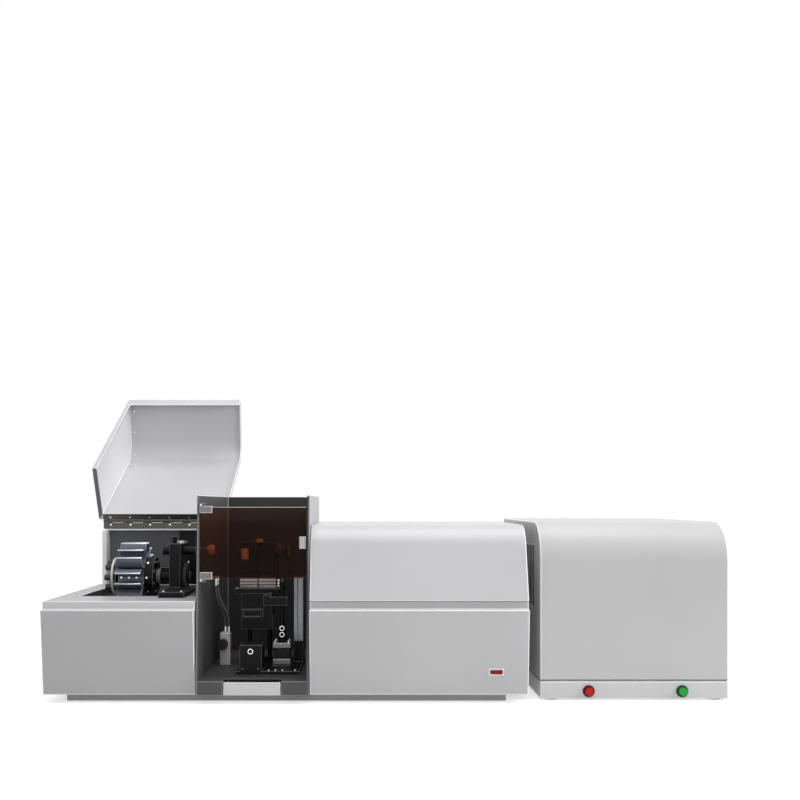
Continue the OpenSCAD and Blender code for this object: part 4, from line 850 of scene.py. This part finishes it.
guard_corners = [(side * reach, rise * reach) for side in (-1, 1) for rise in (-1, 1)]
for side, rise in guard_corners:
    turn = math.atan2(rise, side)
    bpy.ops.mesh.primitive_cylinder_add(
        vertices=10, radius=0.0011, depth=0.042, rotation=(0, math.pi / 2, turn),
        location=(spoke_middle * math.cos(turn), spoke_middle * math.sin(turn), 0.0018))
    guard_wires.append(bpy.context.object)
    eyelet = turned_ring("eyelet", 0.0046, 0.0020, 0.0020)
    eyelet.location = (side / 1000, rise / 1000, 0)
    guard_wires.append(eyelet)
fan_x, fan_z = 903, 120
guard = joined(guard_wires, "fan_guard")
put(guard, spot(fan_x, 476.1, fan_z), (0, 1, 0), "frame", nickel)
guard_row = [(spot(fan_x + side, 478.3, fan_z + rise), (0, 1, 0)) for side, rise in guard_corners]
set_row(cap_screw, "fan_guard_screws", guard_row, "frame", screw_steel)
bpy.data.objects.remove(cap_screw)


# Power cabinet: a shallow base tray with the button strip, and a bent cover with a large radius
# along its front top edge and a vent in its left side. The cover's inside is painted nearly black
# as painted shade, so the vent reads dark, and its lower edge is painted dark as painted shadow in
# the seam. It holds the furnace's transformer.
cabinet_grey = stove_paint("cabinet_light_grey_paint", (0.52, 0.52, 0.525), 0.4)
# A much lighter paint on the cabinet's rounded edges: a painted highlight.
cabinet_highlight = stove_paint("cabinet_highlight_paint", (0.92, 0.92, 0.925), 0.3)
strip_grey = stove_paint("cabinet_strip_paint", (0.60, 0.60, 0.605), 0.4)
broken_edges("cab_base", 0.0018, strip_grey, cabinet_highlight, 3)
cabinet = broken_edges("cab_cover", 0.0020, cabinet_grey, cabinet_highlight, 3)
# Every inward-facing face of the cover is painted nearly black: painted shade inside the cabinet.
inside_painted_shade = stove_paint("cabinet_inside_painted_shade", (0.022, 0.022, 0.023), 0.6, gloss=0.15)
cabinet_middle = spot(1280, 352, 200)
second_finish(cabinet, inside_painted_shade, lambda c, n: n.dot(cabinet_middle - c) > 0)
cabinet_foot = 0.0465
# The cover's lower rounded edge is painted dark: painted shadow in the seam.
second_finish(cabinet, seam_painted_shadow, lambda c, n: n.z < -0.2 and c.z < cabinet_foot)
iron = moulded("transformer_varnish", (0.07, 0.055, 0.04), 0.5)
dressed("transformer", iron)
cabinet_back = 647.6
cab_row = [(spot(x, cabinet_back, z), (0, 1, 0))
           for x in (1096, 1280, 1464) for z in (70, 214, 360)]
set_row(panel_screw, "cabinet_back_screws", cab_row, "frame", screw_steel)
bpy.data.objects.remove(panel_screw)


# Push-buttons: domed plastic caps on springs, one red and one green, each in a ring of its own
# colour that is set into the cabinet's strip and painted dark as painted shade of the cap's side.
# The rings are painted dark red and dark green: painted shade of the caps' shaded sides.
red_ring_shade = moulded("red_ring_painted_shade_plastic", (0.075, 0.005, 0.005), 0.35, gloss=0.2)
green_ring_shade = moulded("green_ring_painted_shade_plastic", (0.004, 0.045, 0.012), 0.35, gloss=0.2)
bezels = broken_edges("button_bezels", 0.0008, red_ring_shade)
second_finish(bezels, green_ring_shade, lambda c, n: c.x > cabinet_middle.x)
button_red = moulded("button_red_plastic", (0.50, 0.012, 0.012), 0.3, gloss=0.15)
button_green = moulded("button_green_plastic", (0.018, 0.34, 0.05), 0.3, gloss=0.15)
for node, finish in (("red_button", button_red), ("green_button", button_green)):
    broken_edges(node, 0.0015, finish, segments=4)
